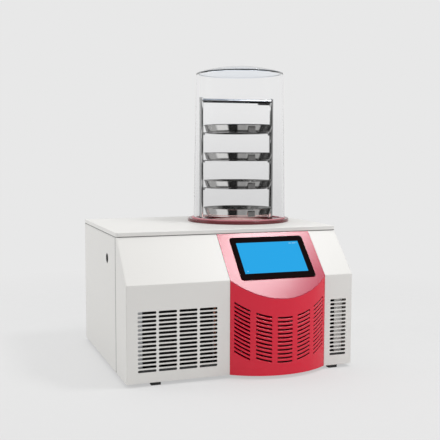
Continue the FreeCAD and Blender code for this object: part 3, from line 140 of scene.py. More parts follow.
def arc_points(u, v, radius, start, end, steps):
    """Points of an arc about (u, v), from one angle in degrees to another."""
    turn = [math.radians(start + (end - start) * k / steps) for k in range(steps + 1)]
    return [(u + radius * math.cos(a), v + radius * math.sin(a)) for a in turn]


def turned(outline, x, y, segments=128):
    """A closed (radius, height) outline turned about the upright line at x, y."""
    bm = bmesh.new()
    rings = []
    for r, z in outline:
        if r < 1e-4:
            rings.append([bm.verts.new((x, y, z))])
            continue
        ring = []
        for k in range(segments):
            a = 2 * math.pi * k / segments
            ring.append(bm.verts.new((x + r * math.cos(a), y + r * math.sin(a), z)))
        rings.append(ring)
    for i, low in enumerate(rings):
        high = rings[(i + 1) % len(rings)]
        if len(low) == 1 and len(high) == 1:
            continue
        for k in range(segments):
            j = (k + 1) % segments
            if len(low) == 1:
                bm.faces.new((low[0], high[j], high[k]))
            elif len(high) == 1:
                bm.faces.new((low[k], low[j], high[0]))
            else:
                bm.faces.new((low[k], low[j], high[j], high[k]))
    return bm


def rod(bm, start, end, radius, edge=0.0, segments=32):
    """Add a round bar between two points, its end edges rounded."""
    start, end = Vector(start), Vector(end)
    along = (end - start).normalized()
    side = along.orthogonal().normalized()
    other = along.cross(side)
    rows = [(0.0, 0.0)]
    if edge:
        quarter = [math.pi / 2 * k / 3 for k in range(4)]
        rows = [(edge * (1 - math.cos(a)), edge * (1 - math.sin(a))) for a in quarter]
    rows = [(start + along * d, radius - cut) for d, cut in rows] + \
        [(end - along * d, radius - cut) for d, cut in reversed(rows)]
    rings = []
    for at, r in rows:
        rings.append([bm.verts.new(at + side * r * math.cos(2 * math.pi * k / segments) +
                                   other * r * math.sin(2 * math.pi * k / segments))
                      for k in range(segments)])
    for low, high in zip(rings, rings[1:]):
        for k in range(segments):
            j = (k + 1) % segments
            bm.faces.new((low[k], low[j], high[j], high[k]))
    bm.faces.new(list(reversed(rings[0])))
    bm.faces.new(rings[-1])


def slab(bm, outline, depth, place, chamfer=0.0):
    """Add a plate: a flat outline raised by its depth, taken to its place by a function."""
    inner = [Vector(p) for p in outline]
    middle = sum(inner, Vector((0.0, 0.0))) / len(inner)
    rows = [(0.0, 0.0), (depth - chamfer, 0.0), (depth, chamfer)] if chamfer else \
        [(0.0, 0.0), (depth, 0.0)]
    rings = []
    for height, cut in rows:
        ring = []
        for p in inner:
            pulled = p - (p - middle).normalized() * cut
            ring.append(bm.verts.new(place(pulled.x, pulled.y, height)))
        rings.append(ring)
    count = len(inner)
    for low, high in zip(rings, rings[1:]):
        for k in range(count):
            j = (k + 1) % count
            bm.faces.new((low[k], low[j], high[j], high[k]))
    bm.faces.new(list(reversed(rings[0])))
    bm.faces.new(rings[-1])


def rounded_rectangle(width, height, radius, steps=8):
    w, h = width / 2, height / 2
    return rounded([(-w, -h, radius), (w, -h, radius), (w, h, radius), (-w, h, radius)], steps)


# ---- Geometry Nodes ------------------------------------------------------------------------

SOCKETS = {int: "NodeSocketInt", float: "NodeSocketFloat", tuple: "NodeSocketVector"}


def new_tree(name, sizes):
    """A Geometry Nodes tree with named inputs for its sizes and its material."""
    tree = bpy.data.node_groups.new(name, "GeometryNodeTree")
    tree.interface.new_socket("Geometry", in_out="INPUT", socket_type="NodeSocketGeometry")
    tree.interface.new_socket("Geometry", in_out="OUTPUT", socket_type="NodeSocketGeometry")
    for key, value in sizes.items():
        tree.interface.new_socket(key, in_out="INPUT", socket_type=SOCKETS[type(value)])
    tree.interface.new_socket("Material", in_out="INPUT", socket_type="NodeSocketMaterial")
    return tree, put(tree, "NodeGroupInput").outputs


def end_tree(tree, geometry, given):
    """Every tree ends in real, painted geometry."""
    real = put(tree, "GeometryNodeRealizeInstances", {"Geometry": geometry})
    painted = put(tree, "GeometryNodeSetMaterial",
                  {"Geometry": real.outputs[0], "Material": given["Material"]})
    put(tree, "NodeGroupOutput", {0: painted.outputs[0]})


def grown(name, tree, sizes, material, base):
    """The plain mesh that a tree makes from a base mesh."""
    base.materials.append(material)
    made = new_object(name, base)
    modifier = made.modifiers.new("grow", "NODES")
    modifier.node_group = tree
    values = dict(sizes, Material=material)
    for item in tree.interface.items_tree:
        if item.in_out == "INPUT" and item.name in values:
            modifier[item.identifier] = values[item.name]
    scene = bpy.context.evaluated_depsgraph_get()
    mesh = bpy.data.meshes.new_from_object(made.evaluated_get(scene))
    made.modifiers.clear()
    made.data = mesh
    smooth(mesh)
    return made


def stacked(tree, geometry, given):
    """Copies of a geometry at even steps."""
    points = put(tree, "GeometryNodeMeshLine", {"Count": given["Count"], "Offset": given["Step"]})
    copies = put(tree, "GeometryNodeInstanceOnPoints",
                 {"Points": points.outputs[0], "Instance": geometry})
    return copies.outputs[0]


def stack_tree():
    """Copies of the base mesh at even steps: trays on their rings, fins on their tubes."""
    tree, given = new_tree("stack", {"Count": 1, "Step": (0.0, 0.0, 0.0)})
    end_tree(tree, stacked(tree, given["Geometry"], given), given)
    return tree


def wire_ring_tree():
    """A ring of round wire joined to the base mesh, then repeated at even steps."""
    tree, given = new_tree("wire_rings", {"Radius": 0.1, "Wire": 0.001, "Centre": (0.0, 0.0, 0.0),
                                          "Count": 1, "Step": (0.0, 0.0, 0.0)})
    path = put(tree, "GeometryNodeCurvePrimitiveCircle",
               {"Resolution": 112, "Radius": given["Radius"]})
    round_wire = put(tree, "GeometryNodeCurvePrimitiveCircle",
                     {"Resolution": 16, "Radius": given["Wire"]})
    ring = put(tree, "GeometryNodeCurveToMesh",
               {"Curve": path.outputs[0], "Profile Curve": round_wire.outputs[0]})
    placed = put(tree, "GeometryNodeTransform",
                 {"Geometry": ring.outputs[0], "Translation": given["Centre"]})
    whole = put(tree, "GeometryNodeJoinGeometry")
    tree.links.new(placed.outputs[0], whole.inputs[0])
    tree.links.new(given["Geometry"], whole.inputs[0])
    end_tree(tree, stacked(tree, whole.outputs[0], given), given)
    return tree


def spoke_tree():
    """Copies of the base mesh turned evenly about a level axis that runs front to back."""
    tree, given = new_tree("spokes", {"Count": 1, "Centre": (0.0, 0.0, 0.0)})
    points = put(tree, "GeometryNodeMeshLine", {"Count": given["Count"],
                                                "Offset": (0.0, 0.0, 0.0)})
    index = put(tree, "GeometryNodeInputIndex").outputs[0]
    step = maths(tree, "DIVIDE", 2 * math.pi, given["Count"])
    turn = put(tree, "ShaderNodeCombineXYZ", {"Y": maths(tree, "MULTIPLY", index, step)})
    spin = put(tree, "FunctionNodeEulerToRotation", {"Euler": turn.outputs[0]})
    copies = put(tree, "GeometryNodeInstanceOnPoints",
                 {"Points": points.outputs[0], "Instance": given["Geometry"],
                  "Rotation": spin.outputs[0]})
    placed = put(tree, "GeometryNodeTransform",
                 {"Geometry": copies.outputs[0], "Translation": given["Centre"]})
    end_tree(tree, placed.outputs[0], given)
    return tree


# ---- shader groups -------------------------------------------------------------------------

def new_group(name, inputs, outputs):
    """A shader node group with named inputs and outputs."""
    tree = bpy.data.node_groups.new(name, "ShaderNodeTree")
    for key, value in inputs.items():
        kind = "NodeSocketColor" if isinstance(value, tuple) else "NodeSocketFloat"
        tree.interface.new_socket(key, in_out="INPUT", socket_type=kind).default_value = value
    for key, kind in outputs.items():
        tree.interface.new_socket(key, in_out="OUTPUT", socket_type=kind)
    return tree, put(tree, "NodeGroupInput").outputs, put(tree, "NodeGroupOutput")


def coords(tree):
    return put(tree, "ShaderNodeTexCoord").outputs["Object"]


def coat_group():
    """Sprayed paint with clouds of tone and orange peel.

    Within Inner X it turns to painted shade, dark for the unlit inside of the cabinet, and above
    a sloping plane it turns to a second tone, which the materials use to paint shade on one side
    of the plane.
    """
    tree, given, out = new_group(
        "sprayed_paint", {"Color": (1.0, 1.0, 1.0, 1.0), "Roughness": 0.4, "Cloud": 0.03,
                          "Peel Size": 900.0, "Inner X": 0.0,
                          "Inner Color": (0.02, 0.02, 0.02, 1.0), "Slope": 0.0,
                          "Above": 1000.0, "Above Color": (0.3, 0.01, 0.03, 1.0)},
        {"Color": "NodeSocketColor", "Roughness": "NodeSocketFloat", "Height": "NodeSocketFloat"})
    at = coords(tree)
    cloud = put(tree, "ShaderNodeTexNoise", {"Vector": at, "Scale": 6.0, "Detail": 3.0})
    peel = put(tree, "ShaderNodeTexNoise", {"Vector": at, "Scale": given["Peel Size"],
                                            "Detail": 2.0})
    shift = maths(tree, "SUBTRACT", cloud.outputs["Fac"], 0.5)
    tone = maths(tree, "ADD", maths(tree, "MULTIPLY", shift, given["Cloud"]), 1.0)
    x, y, z = put(tree, "ShaderNodeSeparateXYZ", {0: at}).outputs
    height = maths(tree, "SUBTRACT", z, maths(tree, "MULTIPLY", y, given["Slope"]))
    # Above the sloping plane the colour turns to the second tone, which serves as painted shade.
    above = maths(tree, "GREATER_THAN", height, given["Above"])
    color = put(tree, "ShaderNodeMix", {"Factor": above, "A": given["Color"],
                                        "B": given["Above Color"]}, data_type="RGBA")
    tint = put(tree, "ShaderNodeVectorMath", {0: color.outputs["Result"], "Scale": tone},
               operation="SCALE")
    rough = maths(tree, "ADD", given["Roughness"], maths(tree, "MULTIPLY", shift, 0.12))
    # Painted shade: within Inner X the colour turns dark, for the unlit inside of the cabinet.
    within = maths(tree, "LESS_THAN", maths(tree, "ABSOLUTE", x), given["Inner X"])
    both = put(tree, "ShaderNodeMix", {"Factor": within, "A": tint.outputs[0],
                                       "B": given["Inner Color"]}, data_type="RGBA")
    for key, value in (("Color", both.outputs["Result"]), ("Roughness", rough),
                       ("Height", peel.outputs["Fac"])):
        tree.links.new(value, out.inputs[key])
    return tree


def grain_group():
    """Worked metal: fine streaks along one direction, in tone, gloss and height."""
    tree, given, out = new_group(
        "metal_grain", {"Color": (1.0, 1.0, 1.0, 1.0), "Roughness": 0.3, "Depth": 0.1,
                        "Across": 600.0, "Along": 12.0},
        {"Color": "NodeSocketColor", "Roughness": "NodeSocketFloat", "Height": "NodeSocketFloat"})
    stretch = put(tree, "ShaderNodeCombineXYZ", {0: given["Along"], 1: given["Along"],
                                                 2: given["Across"]})
    pulled = put(tree, "ShaderNodeVectorMath", {0: coords(tree), 1: stretch.outputs[0]},
                 operation="MULTIPLY")
    streak = put(tree, "ShaderNodeTexNoise", {"Vector": pulled.outputs[0], "Scale": 1.0,
                                              "Detail": 4.0, "Roughness": 0.6})
    smudge = put(tree, "ShaderNodeTexNoise", {"Vector": coords(tree), "Scale": 14.0,
                                              "Detail": 3.0})
    shift = maths(tree, "SUBTRACT", streak.outputs["Fac"], 0.5)
    tone = maths(tree, "ADD", maths(tree, "MULTIPLY", shift, given["Depth"]), 1.0)
    tint = put(tree, "ShaderNodeVectorMath", {0: given["Color"], "Scale": tone},
               operation="SCALE")
    worn = maths(tree, "MULTIPLY", maths(tree, "SUBTRACT", smudge.outputs["Fac"], 0.5), 0.1)
    rough = maths(tree, "ADD", maths(tree, "ADD", given["Roughness"], worn),
                  maths(tree, "MULTIPLY", shift, given["Depth"]))
    for key, value in (("Color", tint.outputs[0]), ("Roughness", rough),
                       ("Height", streak.outputs["Fac"])):
        tree.links.new(value, out.inputs[key])
    return tree


def on_map(tree):
    """Across and up on the mesh's own map."""
    uv = put(tree, "ShaderNodeUVMap", uv_map="UVMap").outputs[0]
    return put(tree, "ShaderNodeSeparateXYZ", {0: uv}).outputs


def inside(tree, value, middle, half, soft):
    """1 within half of the middle, 0 beyond, with a soft edge."""
    away = maths(tree, "ABSOLUTE", maths(tree, "SUBTRACT", value, middle))
    return put(tree, "ShaderNodeMapRange", {"Value": away, "From Min": half + soft,
                                            "From Max": half - soft}).outputs[0]


def picture_group():
    """The lit picture behind the glass, from the glass's own map of 200 mm each way."""
    tree, given, out = new_group(
        "screen_picture", {"Blue": (0.016, 0.386, 0.807, 1.0), "Mark": (0.45, 0.78, 0.95, 1.0)},
        {"Color": "NodeSocketColor"})
    at = on_map(tree)

    def box(u, v, half_u, half_v, soft):
        return maths(tree, "MULTIPLY", inside(tree, at[0], u, half_u, soft),
                     inside(tree, at[1], v, half_v, soft))

    window = box(0.495, 0.5, 0.395, 0.22, 0.0004)
    marks = 0.0
    for mark in ((0.830, 0.692, 0.022, 0.003), (0.780, 0.692, 0.015, 0.003),
                 (0.865, 0.692, 0.004, 0.003), (0.140, 0.315, 0.006, 0.004)):
        marks = maths(tree, "ADD", box(*mark, 0.001), marks)
    lit = put(tree, "ShaderNodeMix", {"Factor": marks, "A": given["Blue"], "B": given["Mark"]},
              data_type="RGBA")
    shown = put(tree, "ShaderNodeMix", {"Factor": window, "A": (0.0, 0.0, 0.0, 1.0),
                                        "B": lit.outputs["Result"]}, data_type="RGBA")
    tree.links.new(shown.outputs["Result"], out.inputs["Color"])
    return tree


GROUPS = {"paint": coat_group(), "grain": grain_group(), "picture": picture_group()}


# ---- materials -----------------------------------------------------------------------------

RELIEF = 0.05 * MM                      # how deep the bumps of a finish go


def blank_material(name):
    """A material with an empty node tree."""
    made = bpy.data.materials.new(name)
    made.use_nodes = True
    made.node_tree.nodes.clear()
    return made, made.node_tree


def painted_finish(tree, color, roughness, cloud):
    """The paint group at the heart of a material that is not all paint."""
    finish = put(tree, "ShaderNodeGroup", node_tree=GROUPS["paint"])
    for key, value in (("Color", (*color, 1.0)), ("Roughness", roughness), ("Cloud", cloud)):
        finish.inputs[key].default_value = value
    return finish


def material(name, group, color, roughness, bump, values=None, **shader):
    """A Principled material whose colour, gloss and bump come from a shader group."""
    made, tree = blank_material(name)
    finish = put(tree, "ShaderNodeGroup", node_tree=GROUPS[group])
    finish.inputs["Color"].default_value = (*color, 1.0)
    finish.inputs["Roughness"].default_value = roughness
    for key, value in (values or {}).items():
        finish.inputs[key].default_value = value
    relief = put(tree, "ShaderNodeBump", {"Height": finish.outputs["Height"], "Strength": bump,
                                          "Distance": RELIEF})
    bsdf = put(tree, "ShaderNodeBsdfPrincipled",
               {"Base Color": finish.outputs["Color"], "Roughness": finish.outputs["Roughness"],
                "Normal": relief.outputs[0]})
    for key, value in shader.items():
        bsdf.inputs[key.replace("_", " ")].default_value = value
    put(tree, "ShaderNodeOutputMaterial", {"Surface": bsdf.outputs[0]})
    return made


def clear_acrylic(name, tint, ior, low_tint=None):
    """Clear plastic, greyer low down; rays from the lamps pass straight through it."""
    grey_below, clear_above = 0.38, 0.62
    made, tree = blank_material(name)
    finish = painted_finish(tree, tint, 0.0, 0.002)
    if low_tint:
        z = put(tree, "ShaderNodeSeparateXYZ", {0: coords(tree)}).outputs[2]
        rise = put(tree, "ShaderNodeMapRange", {"Value": z, "From Min": grey_below,
                                                "From Max": clear_above})
        tone = put(tree, "ShaderNodeMix", {"Factor": rise.outputs[0], "A": (*low_tint, 1.0),
                                           "B": (*tint, 1.0)}, data_type="RGBA")
        tree.links.new(tone.outputs["Result"], finish.inputs["Color"])
    bsdf = put(tree, "ShaderNodeBsdfPrincipled",
               {"Base Color": finish.outputs["Color"], "Roughness": 0.0, "IOR": ior,
                "Transmission Weight": 1.0})
    clear = put(tree, "ShaderNodeBsdfTransparent", {"Color": (0.97, 0.975, 0.98, 1.0)})
    path = put(tree, "ShaderNodeLightPath").outputs
    lamp = maths(tree, "MAXIMUM", path["Is Shadow Ray"], path["Is Diffuse Ray"])
    mix = put(tree, "ShaderNodeMixShader", {0: lamp, 1: bsdf.outputs[0], 2: clear.outputs[0]})
    put(tree, "ShaderNodeOutputMaterial", {"Surface": mix.outputs[0]})
    return made


def screen_glass():
    """Black glass over a lit, plain blue picture with a few pale marks."""
    made, tree = blank_material("black_glass")
    finish = painted_finish(tree, (0.0095, 0.0055, 0.006), 0.10, 0.1)
    picture = put(tree, "ShaderNodeGroup", node_tree=GROUPS["picture"])
    bsdf = put(tree, "ShaderNodeBsdfPrincipled",
               {"Base Color": finish.outputs["Color"], "Roughness": finish.outputs["Roughness"],
                "Specular IOR Level": 0.0, "Emission Color": picture.outputs["Color"],
                "Emission Strength": 1.0})
    put(tree, "ShaderNodeOutputMaterial", {"Surface": bsdf.outputs[0]})
    return made


WHITE = (0.80, 0.79, 0.765)


def white_coat(name, color=WHITE, more=None):
    """The cabinet's sprayed paint."""
    return material(name, "paint", color, 0.42, 0.12,
                    values={"Cloud": 0.02, "Peel Size": 700.0, **(more or {})})


# The side panels' paint is painted shade inside the cabinet, and a painted shadow line in front
# of a seam, which a plane of a very steep slope marks off;
# the top plate's paint is painted shade on the skirt and white above; red_paint is painted shade,
# a deeper red, on the sloping part of the centre panel.
STEEP, SEAM_Y = 1000.0, -0.13386
SPUN = {"Across": 500.0, "Along": 8.0, "Depth": 0.08}
MATERIALS = {
    "white_paint": white_coat("white_paint"),
    # Painted shade: dark inside the cabinet, and a dark strip in front of the side seam as a
    # painted shadow line.
    "panel_paint_painted_shade": white_coat("panel_paint_painted_shade", more={
        "Inner X": 274.3 * MM, "Slope": STEEP, "Above": -SEAM_Y * STEEP,
        "Above Color": (0.05, 0.05, 0.05, 1.0)}),
    # Painted shade: the plate's skirt is dark grey, and only the top above it is white.
    "plate_paint_painted_shade": white_coat("plate_paint_painted_shade", (0.17, 0.165, 0.16), more={
        "Above": 0.3211, "Above Color": (*WHITE, 1.0)}),
    # Painted shade: a deeper red above the sloping plane, on the slanted face of the centre
    # panel, set against the light that falls there.
    "red_paint": material("red_paint", "paint", (0.74, 0.004, 0.034), 0.22, 0.06,
                          values={"Cloud": 0.04, "Peel Size": 500.0,
                                  "Slope": 1.038, "Above": 0.4682,
                                  "Above Color": (0.46, 0.004, 0.05, 1.0)},
                          Specular_IOR_Level=0.48),
    "collar_paint": material("collar_paint", "paint", (0.12, 0.003, 0.008), 0.18, 0.05,
                             values={"Cloud": 0.05, "Peel Size": 500.0}),
    "black_steel": material("black_steel", "paint", (0.012, 0.012, 0.013), 0.45, 0.15,
                            values={"Cloud": 0.3}),
    "galvanised": material("galvanised", "grain", (0.55, 0.56, 0.57), 0.42, 0.1,
                           values={"Across": 90.0, "Along": 60.0, "Depth": 0.2}, Metallic=1.0),
    "stainless": material("stainless", "grain", (0.68, 0.675, 0.665), 0.16, 0.04, Metallic=1.0,
                          values=SPUN),
    "polished_steel": material("polished_steel", "grain", (0.72, 0.72, 0.72), 0.10, 0.02,
                               Metallic=1.0, values={"Depth": 0.04}),
    "zinc": material("zinc", "grain", (0.62, 0.62, 0.60), 0.30, 0.05, Metallic=1.0),
    "copper": material("copper", "grain", (0.72, 0.33, 0.20), 0.28, 0.05, Metallic=1.0,
                       values={"Across": 40.0, "Along": 40.0, "Depth": 0.25}),
    "brass": material("brass", "grain", (0.68, 0.50, 0.24), 0.26, 0.05, Metallic=1.0),
    "clear_acrylic": clear_acrylic("clear_acrylic", (0.998, 0.998, 1.0), 1.08,
                                   (0.905, 0.905, 0.908)),
    "clear_crown": clear_acrylic("clear_crown", (0.92, 0.955, 1.0), 1.42),
    "black_glass": screen_glass(),
    "display": material("display", "paint", (0.02, 0.28, 0.72), 0.3, 0.0),
    "rubber": material("rubber", "paint", (0.012, 0.012, 0.012), 0.65, 0.3,
                       values={"Cloud": 0.3}),
    "silicone": material("silicone", "paint", (0.62, 0.60, 0.60), 0.45, 0.1),
    "seal": material("seal", "paint", (0.70, 0.26, 0.30), 0.35, 0.1),
    "trap_steel": material("trap_steel", "grain", (0.74, 0.73, 0.72), 0.25, 0.04, Metallic=1.0,
                           values=SPUN),
    # Painted shade: near-black steel for the underside of the rack's bar, in place of a dark
    # reflection.
    "painted_shade_steel": material("painted_shade_steel", "grain", (0.06, 0.06, 0.06), 0.25, 0.04, Metallic=1.0),
    # Painted shade: the grips' steel is a darker copy of the trays' steel, standing in for the
    # darker reflections they show.
    "tab_steel": material("tab_steel", "grain", (0.36, 0.355, 0.35), 0.22, 0.04, Metallic=1.0,
                          values=SPUN),
    "foam": material("foam", "paint", (0.03, 0.03, 0.03), 0.85, 0.6,
                     values={"Peel Size": 350.0}),
    "circuit_board": material("circuit_board", "paint", (0.02, 0.14, 0.06), 0.35, 0.1),
    "black_plastic": material("black_plastic", "paint", (0.018, 0.018, 0.02), 0.42, 0.25,
                              values={"Peel Size": 1500.0}),
    "drain_hose": material("drain_hose", "paint", (0.62, 0.64, 0.62), 0.35, 0.05),
    "lever_plastic": material("lever_plastic", "paint", (0.45, 0.015, 0.02), 0.35, 0.1,
                              Coat_Weight=0.3),
}


# ---- bell jar, collar and gasket -----------------------------------------------------------

CHAMBER = Vector((103.0, 69.75))        # upright axis of the cold trap, collar and trays
COLLAR_TOP = 338.5
PLATE_TOP = 330.5


def bell_jar():
    """A clear jar, slightly tapered, with a low domed top of another finish."""
    x = CHAMBER.x + 2.6                 # it stands a little to the right of the trap's axis
    base_r, top_r, wall, crown = 120.3, 113.3, 5.0, 3.5
    low, apex, rise, shoulder, hollow, lip = 341.0, 733.4, 17.0, 2.5, 2.5, 0.8
    flat_r = top_r - shoulder
    ball = (flat_r ** 2 + rise ** 2) / (2 * rise)
    middle = apex - ball

    def dome(radius, reach, steps=26):
        spans = [reach * k / steps for k in range(steps + 1)]
        return [(r, middle + math.sqrt(radius ** 2 - r ** 2)) for r in spans]

    outer = dome(ball, flat_r)
    inner = dome(ball - crown, top_r - wall - hollow)
    out_z, in_z = outer[-1][1], inner[-1][1]
    inside_r = base_r - wall
    outline = arc_points(base_r - lip, low + lip, lip, -90, 0, 4)
    outline += arc_points(flat_r, out_z - shoulder, shoulder, 0, 72, 6)
    outline += outer[-2::-1] + inner[:-1]
    outline += arc_points(inner[-1][0], in_z - hollow, hollow, 76, 0, 8)
    outline += arc_points(inside_r + lip, low + lip, lip, 180, 270, 4)
    made = piece("clear_bell_jar", turned(outline, x, CHAMBER.y, 192), "clear_acrylic", 40)
    made.data.materials.append(MATERIALS["clear_crown"])
    for face in made.data.polygons:
        face.material_index = int(face.center.z > (in_z - hollow) * MM)
    finished(made, "machine", ["bell_jar"])


def collar():
    """Painted ring round the trap's mouth, grooved for the jar's gasket."""
    z, top, low, high = PLATE_TOP, COLLAR_TOP, COLLAR_TOP - 1.5, COLLAR_TOP + 2.5
    outer, groove_outer, groove_inner, bore = 133.0, 123.3, 112.3, 90.0
    foot, rebate, fit = 124.3, z + 1.5, 0.2
    outline = rounded([(foot, z, 0), (outer, z, 0.4), (outer, top, 2.2), (groove_outer, top, 0.4),
                       (groove_outer, low, 0), (groove_inner, low, 0), (groove_inner, top, 0.4),
                       (bore, top, 1.2), (bore, rebate, 0), (foot, rebate, 0)], 6)
    made = piece("red_collar", turned(outline, *CHAMBER, 192), "collar_paint")
    finished(made, "machine", ["collar_ring"])
    near, far = groove_inner + fit, groove_outer - fit
    outline = rounded([(near, low, 0.3), (far, low, 0.3), (far, high, 1.0), (near, high, 1.0)], 4)
    made = piece("jar_seal", turned(outline, *CHAMBER, 192), "seal")
    finished(made, "machine", ["jar_gasket"])


# ---- drying rack and trays -----------------------------------------------------------------

TRAYS = 4
TRAY_STEP = (0.0, 0.0, 71.5 * MM)
TRAY_Z = 348.4                          # underside of the lowest tray
RACK_R = 97.0                           # uprights from the rack's own axis
RACK_Y = 9.3                            # and behind it
RACK_TURN, RACK_SHIFT = -3.0, -1.5      # degrees and mm, of the rack's axis in the trap
ROD_R = 5.2


def tray():
    """A spun dish with a rolled rim, and its folded grip, each repeated up the rack."""
    z, foot_r, rim_r, rim_z, roll = TRAY_Z, 84.0, 89.4, TRAY_Z + 17.7, 1.3
    rim = [(r, h, 0) for r, h in arc_points(rim_r, rim_z, roll, -107, 208, 18)]
    outline = rounded([(0, z, 0), (foot_r, z, 4.0)] + rim +
                      [(foot_r - 0.7, z + 1.0, 3.0), (0, z + 1.0, 0)], 8)
    bm = turned(outline, 0, 0, 160)
    angle = math.radians(-89.0)         # the grips hang at the front
    out = Vector((math.cos(angle), math.sin(angle), 0))
    side = Vector((-out.y, out.x, 0))
    root, back, face, width = 87.3, 88.29, 89.49, 19.0
    top, under, tip = z + 13.4, z + 12.2, z - 1.6
    fold = rounded([(root, top, 0), (root, under, 0), (back, under, 0.4), (back, tip, 0.3),
                    (face, tip, 0.3), (face, top, 1.4)], 4)
    grips = bmesh.new()
    slab(grips, fold, width,
         lambda r, h, w: out * r + side * (w - width / 2) + Vector((0, 0, h)))
    nodes = ["tray_%d" % (k + 1) for k in range(TRAYS)]
    for name, mesh, steel in (("steel_trays", bm, "stainless"),
                              ("tray_grips", grips, "tab_steel")):
        bmesh.ops.translate(mesh, vec=(*CHAMBER, 0), verts=mesh.verts)
        made = grown(name, stack_tree(), {"Count": TRAYS, "Step": TRAY_STEP},
                     MATERIALS[steel], mesh_from(name + "_base", mesh))
        finished(made, "machine", nodes)


def to_rack(bm):
    """Turn and move what is drawn about the rack's own axis to where the rack stands."""
    turn = Matrix.Rotation(math.radians(RACK_TURN), 4, "Z")
    place = Matrix.Translation((CHAMBER.x + RACK_SHIFT, CHAMBER.y, 0))
    bmesh.ops.transform(bm, matrix=place @ turn, verts=bm.verts)
    return place


def rack():
    """Two uprights and a bar, welded, with a flat under the bar's right end."""
    top, y = COLLAR_TOP + 314.0, RACK_Y
    bar_z = top - 8.0
    length, thick = 34.0, 6.0
    bm = bmesh.new()
    for s in (-1, 1):
        rod(bm, (s * RACK_R, y, COLLAR_TOP), (s * RACK_R, y, top), ROD_R, 1.5, 40)
    rod(bm, (-RACK_R, y, bar_z), (RACK_R, y, bar_z), ROD_R, 0, 40)
    right, low, high = RACK_R - ROD_R + 0.6, bar_z - 9.2, bar_z - 4.6
    left = right - length
    flat = rounded([(left, low, 1.0), (right, low, 0), (right, high, 0), (left, high, 0)], 3)
    slab(bm, flat, thick, lambda u, v, w: Vector((u, y - thick / 2 + w, v)))
    to_rack(bm)
    made = piece("rack_uprights", bm, "polished_steel")
    made.data.materials.append(MATERIALS["painted_shade_steel"])
    for face in made.data.polygons:     # the bar's underside is painted shade, dark steel in place of a dark reflection
        under = (bar_z - ROD_R) * MM < face.center.z < (bar_z - 0.8) * MM
        across = abs(face.center.x - CHAMBER.x * MM) < (RACK_R - ROD_R - 2.0) * MM
        face.material_index = int(under and across)
    finished(made, "machine", ["rack_frame"])


def support_rings():
    """A wire ring under each tray, with an arm and a peg to each upright."""
    ring_r, wire, z = 78.0, 1.6, TRAY_Z - 1.6
    arm_r, peg_r, low, high = 1.3, 2.2, TRAY_Z - 7.0, TRAY_Z - 0.4
    peg = RACK_R - ROD_R - 2.25
    start = math.sqrt(ring_r ** 2 - RACK_Y ** 2) - wire / 2
    bm = bmesh.new()
    for s in (-1, 1):
        rod(bm, (s * start, RACK_Y, z), (s * peg, RACK_Y, z), arm_r, 0, 16)
        rod(bm, (s * peg, RACK_Y, low), (s * peg, RACK_Y, high), peg_r, 0.6, 20)
    place = to_rack(bm)
    centre = (place.translation + Vector((0, 0, z))) * MM
    made = grown("support_rings", wire_ring_tree(),
                 {"Radius": ring_r * MM, "Wire": wire * MM, "Centre": tuple(centre),
                  "Count": TRAYS, "Step": TRAY_STEP},
                 MATERIALS["polished_steel"], mesh_from("ring_arms", bm))
    finished(made, "machine",
             ["support_ring_%d" % (k + 1) for k in range(TRAYS)])


# ---- condenser and fan ---------------------------------------------------------------------

CORE_X, CORE_Y, CORE_Z = (-237.0, -70.0), (-216.25, -174.25), (42.0, 214.0)
TUBES, TUBE_R = 12, 3.8
BLADES, FAN_Y = 5, -168.25


def condenser():
    """Thin upright fins on twelve level tubes."""
    pitch, thick = 2.6, 0.5
    count = int((CORE_X[1] - CORE_X[0]) / pitch)
    bm = bmesh.new()
    outline = [(CORE_Y[0], CORE_Z[0]), (CORE_Y[1], CORE_Z[0]), (CORE_Y[1], CORE_Z[1]),
               (CORE_Y[0], CORE_Z[1])]
    slab(bm, outline, thick, lambda y, z, w: Vector((CORE_X[0] + w, y, z)))
    fins = grown("condenser_fins", stack_tree(),
                 {"Count": count + 1, "Step": (pitch * MM, 0.0, 0.0)},
                 MATERIALS["black_steel"], mesh_from("fin", bm))
    finished(fins, "machine", ["condenser_core"])
    row = (CORE_Z[1] - CORE_Z[0]) / TUBES
    y, z = sum(CORE_Y) / 2, CORE_Z[0] + row / 2
    bm = bmesh.new()
    rod(bm, (CORE_X[0], y, z), (CORE_X[1], y, z), TUBE_R, 0, 20)
    tubes = grown("condenser_tubes", stack_tree(),
                  {"Count": TUBES, "Step": (0.0, 0.0, row * MM)},
                  MATERIALS["copper"], mesh_from("tube", bm))
    finished(tubes, "machine")


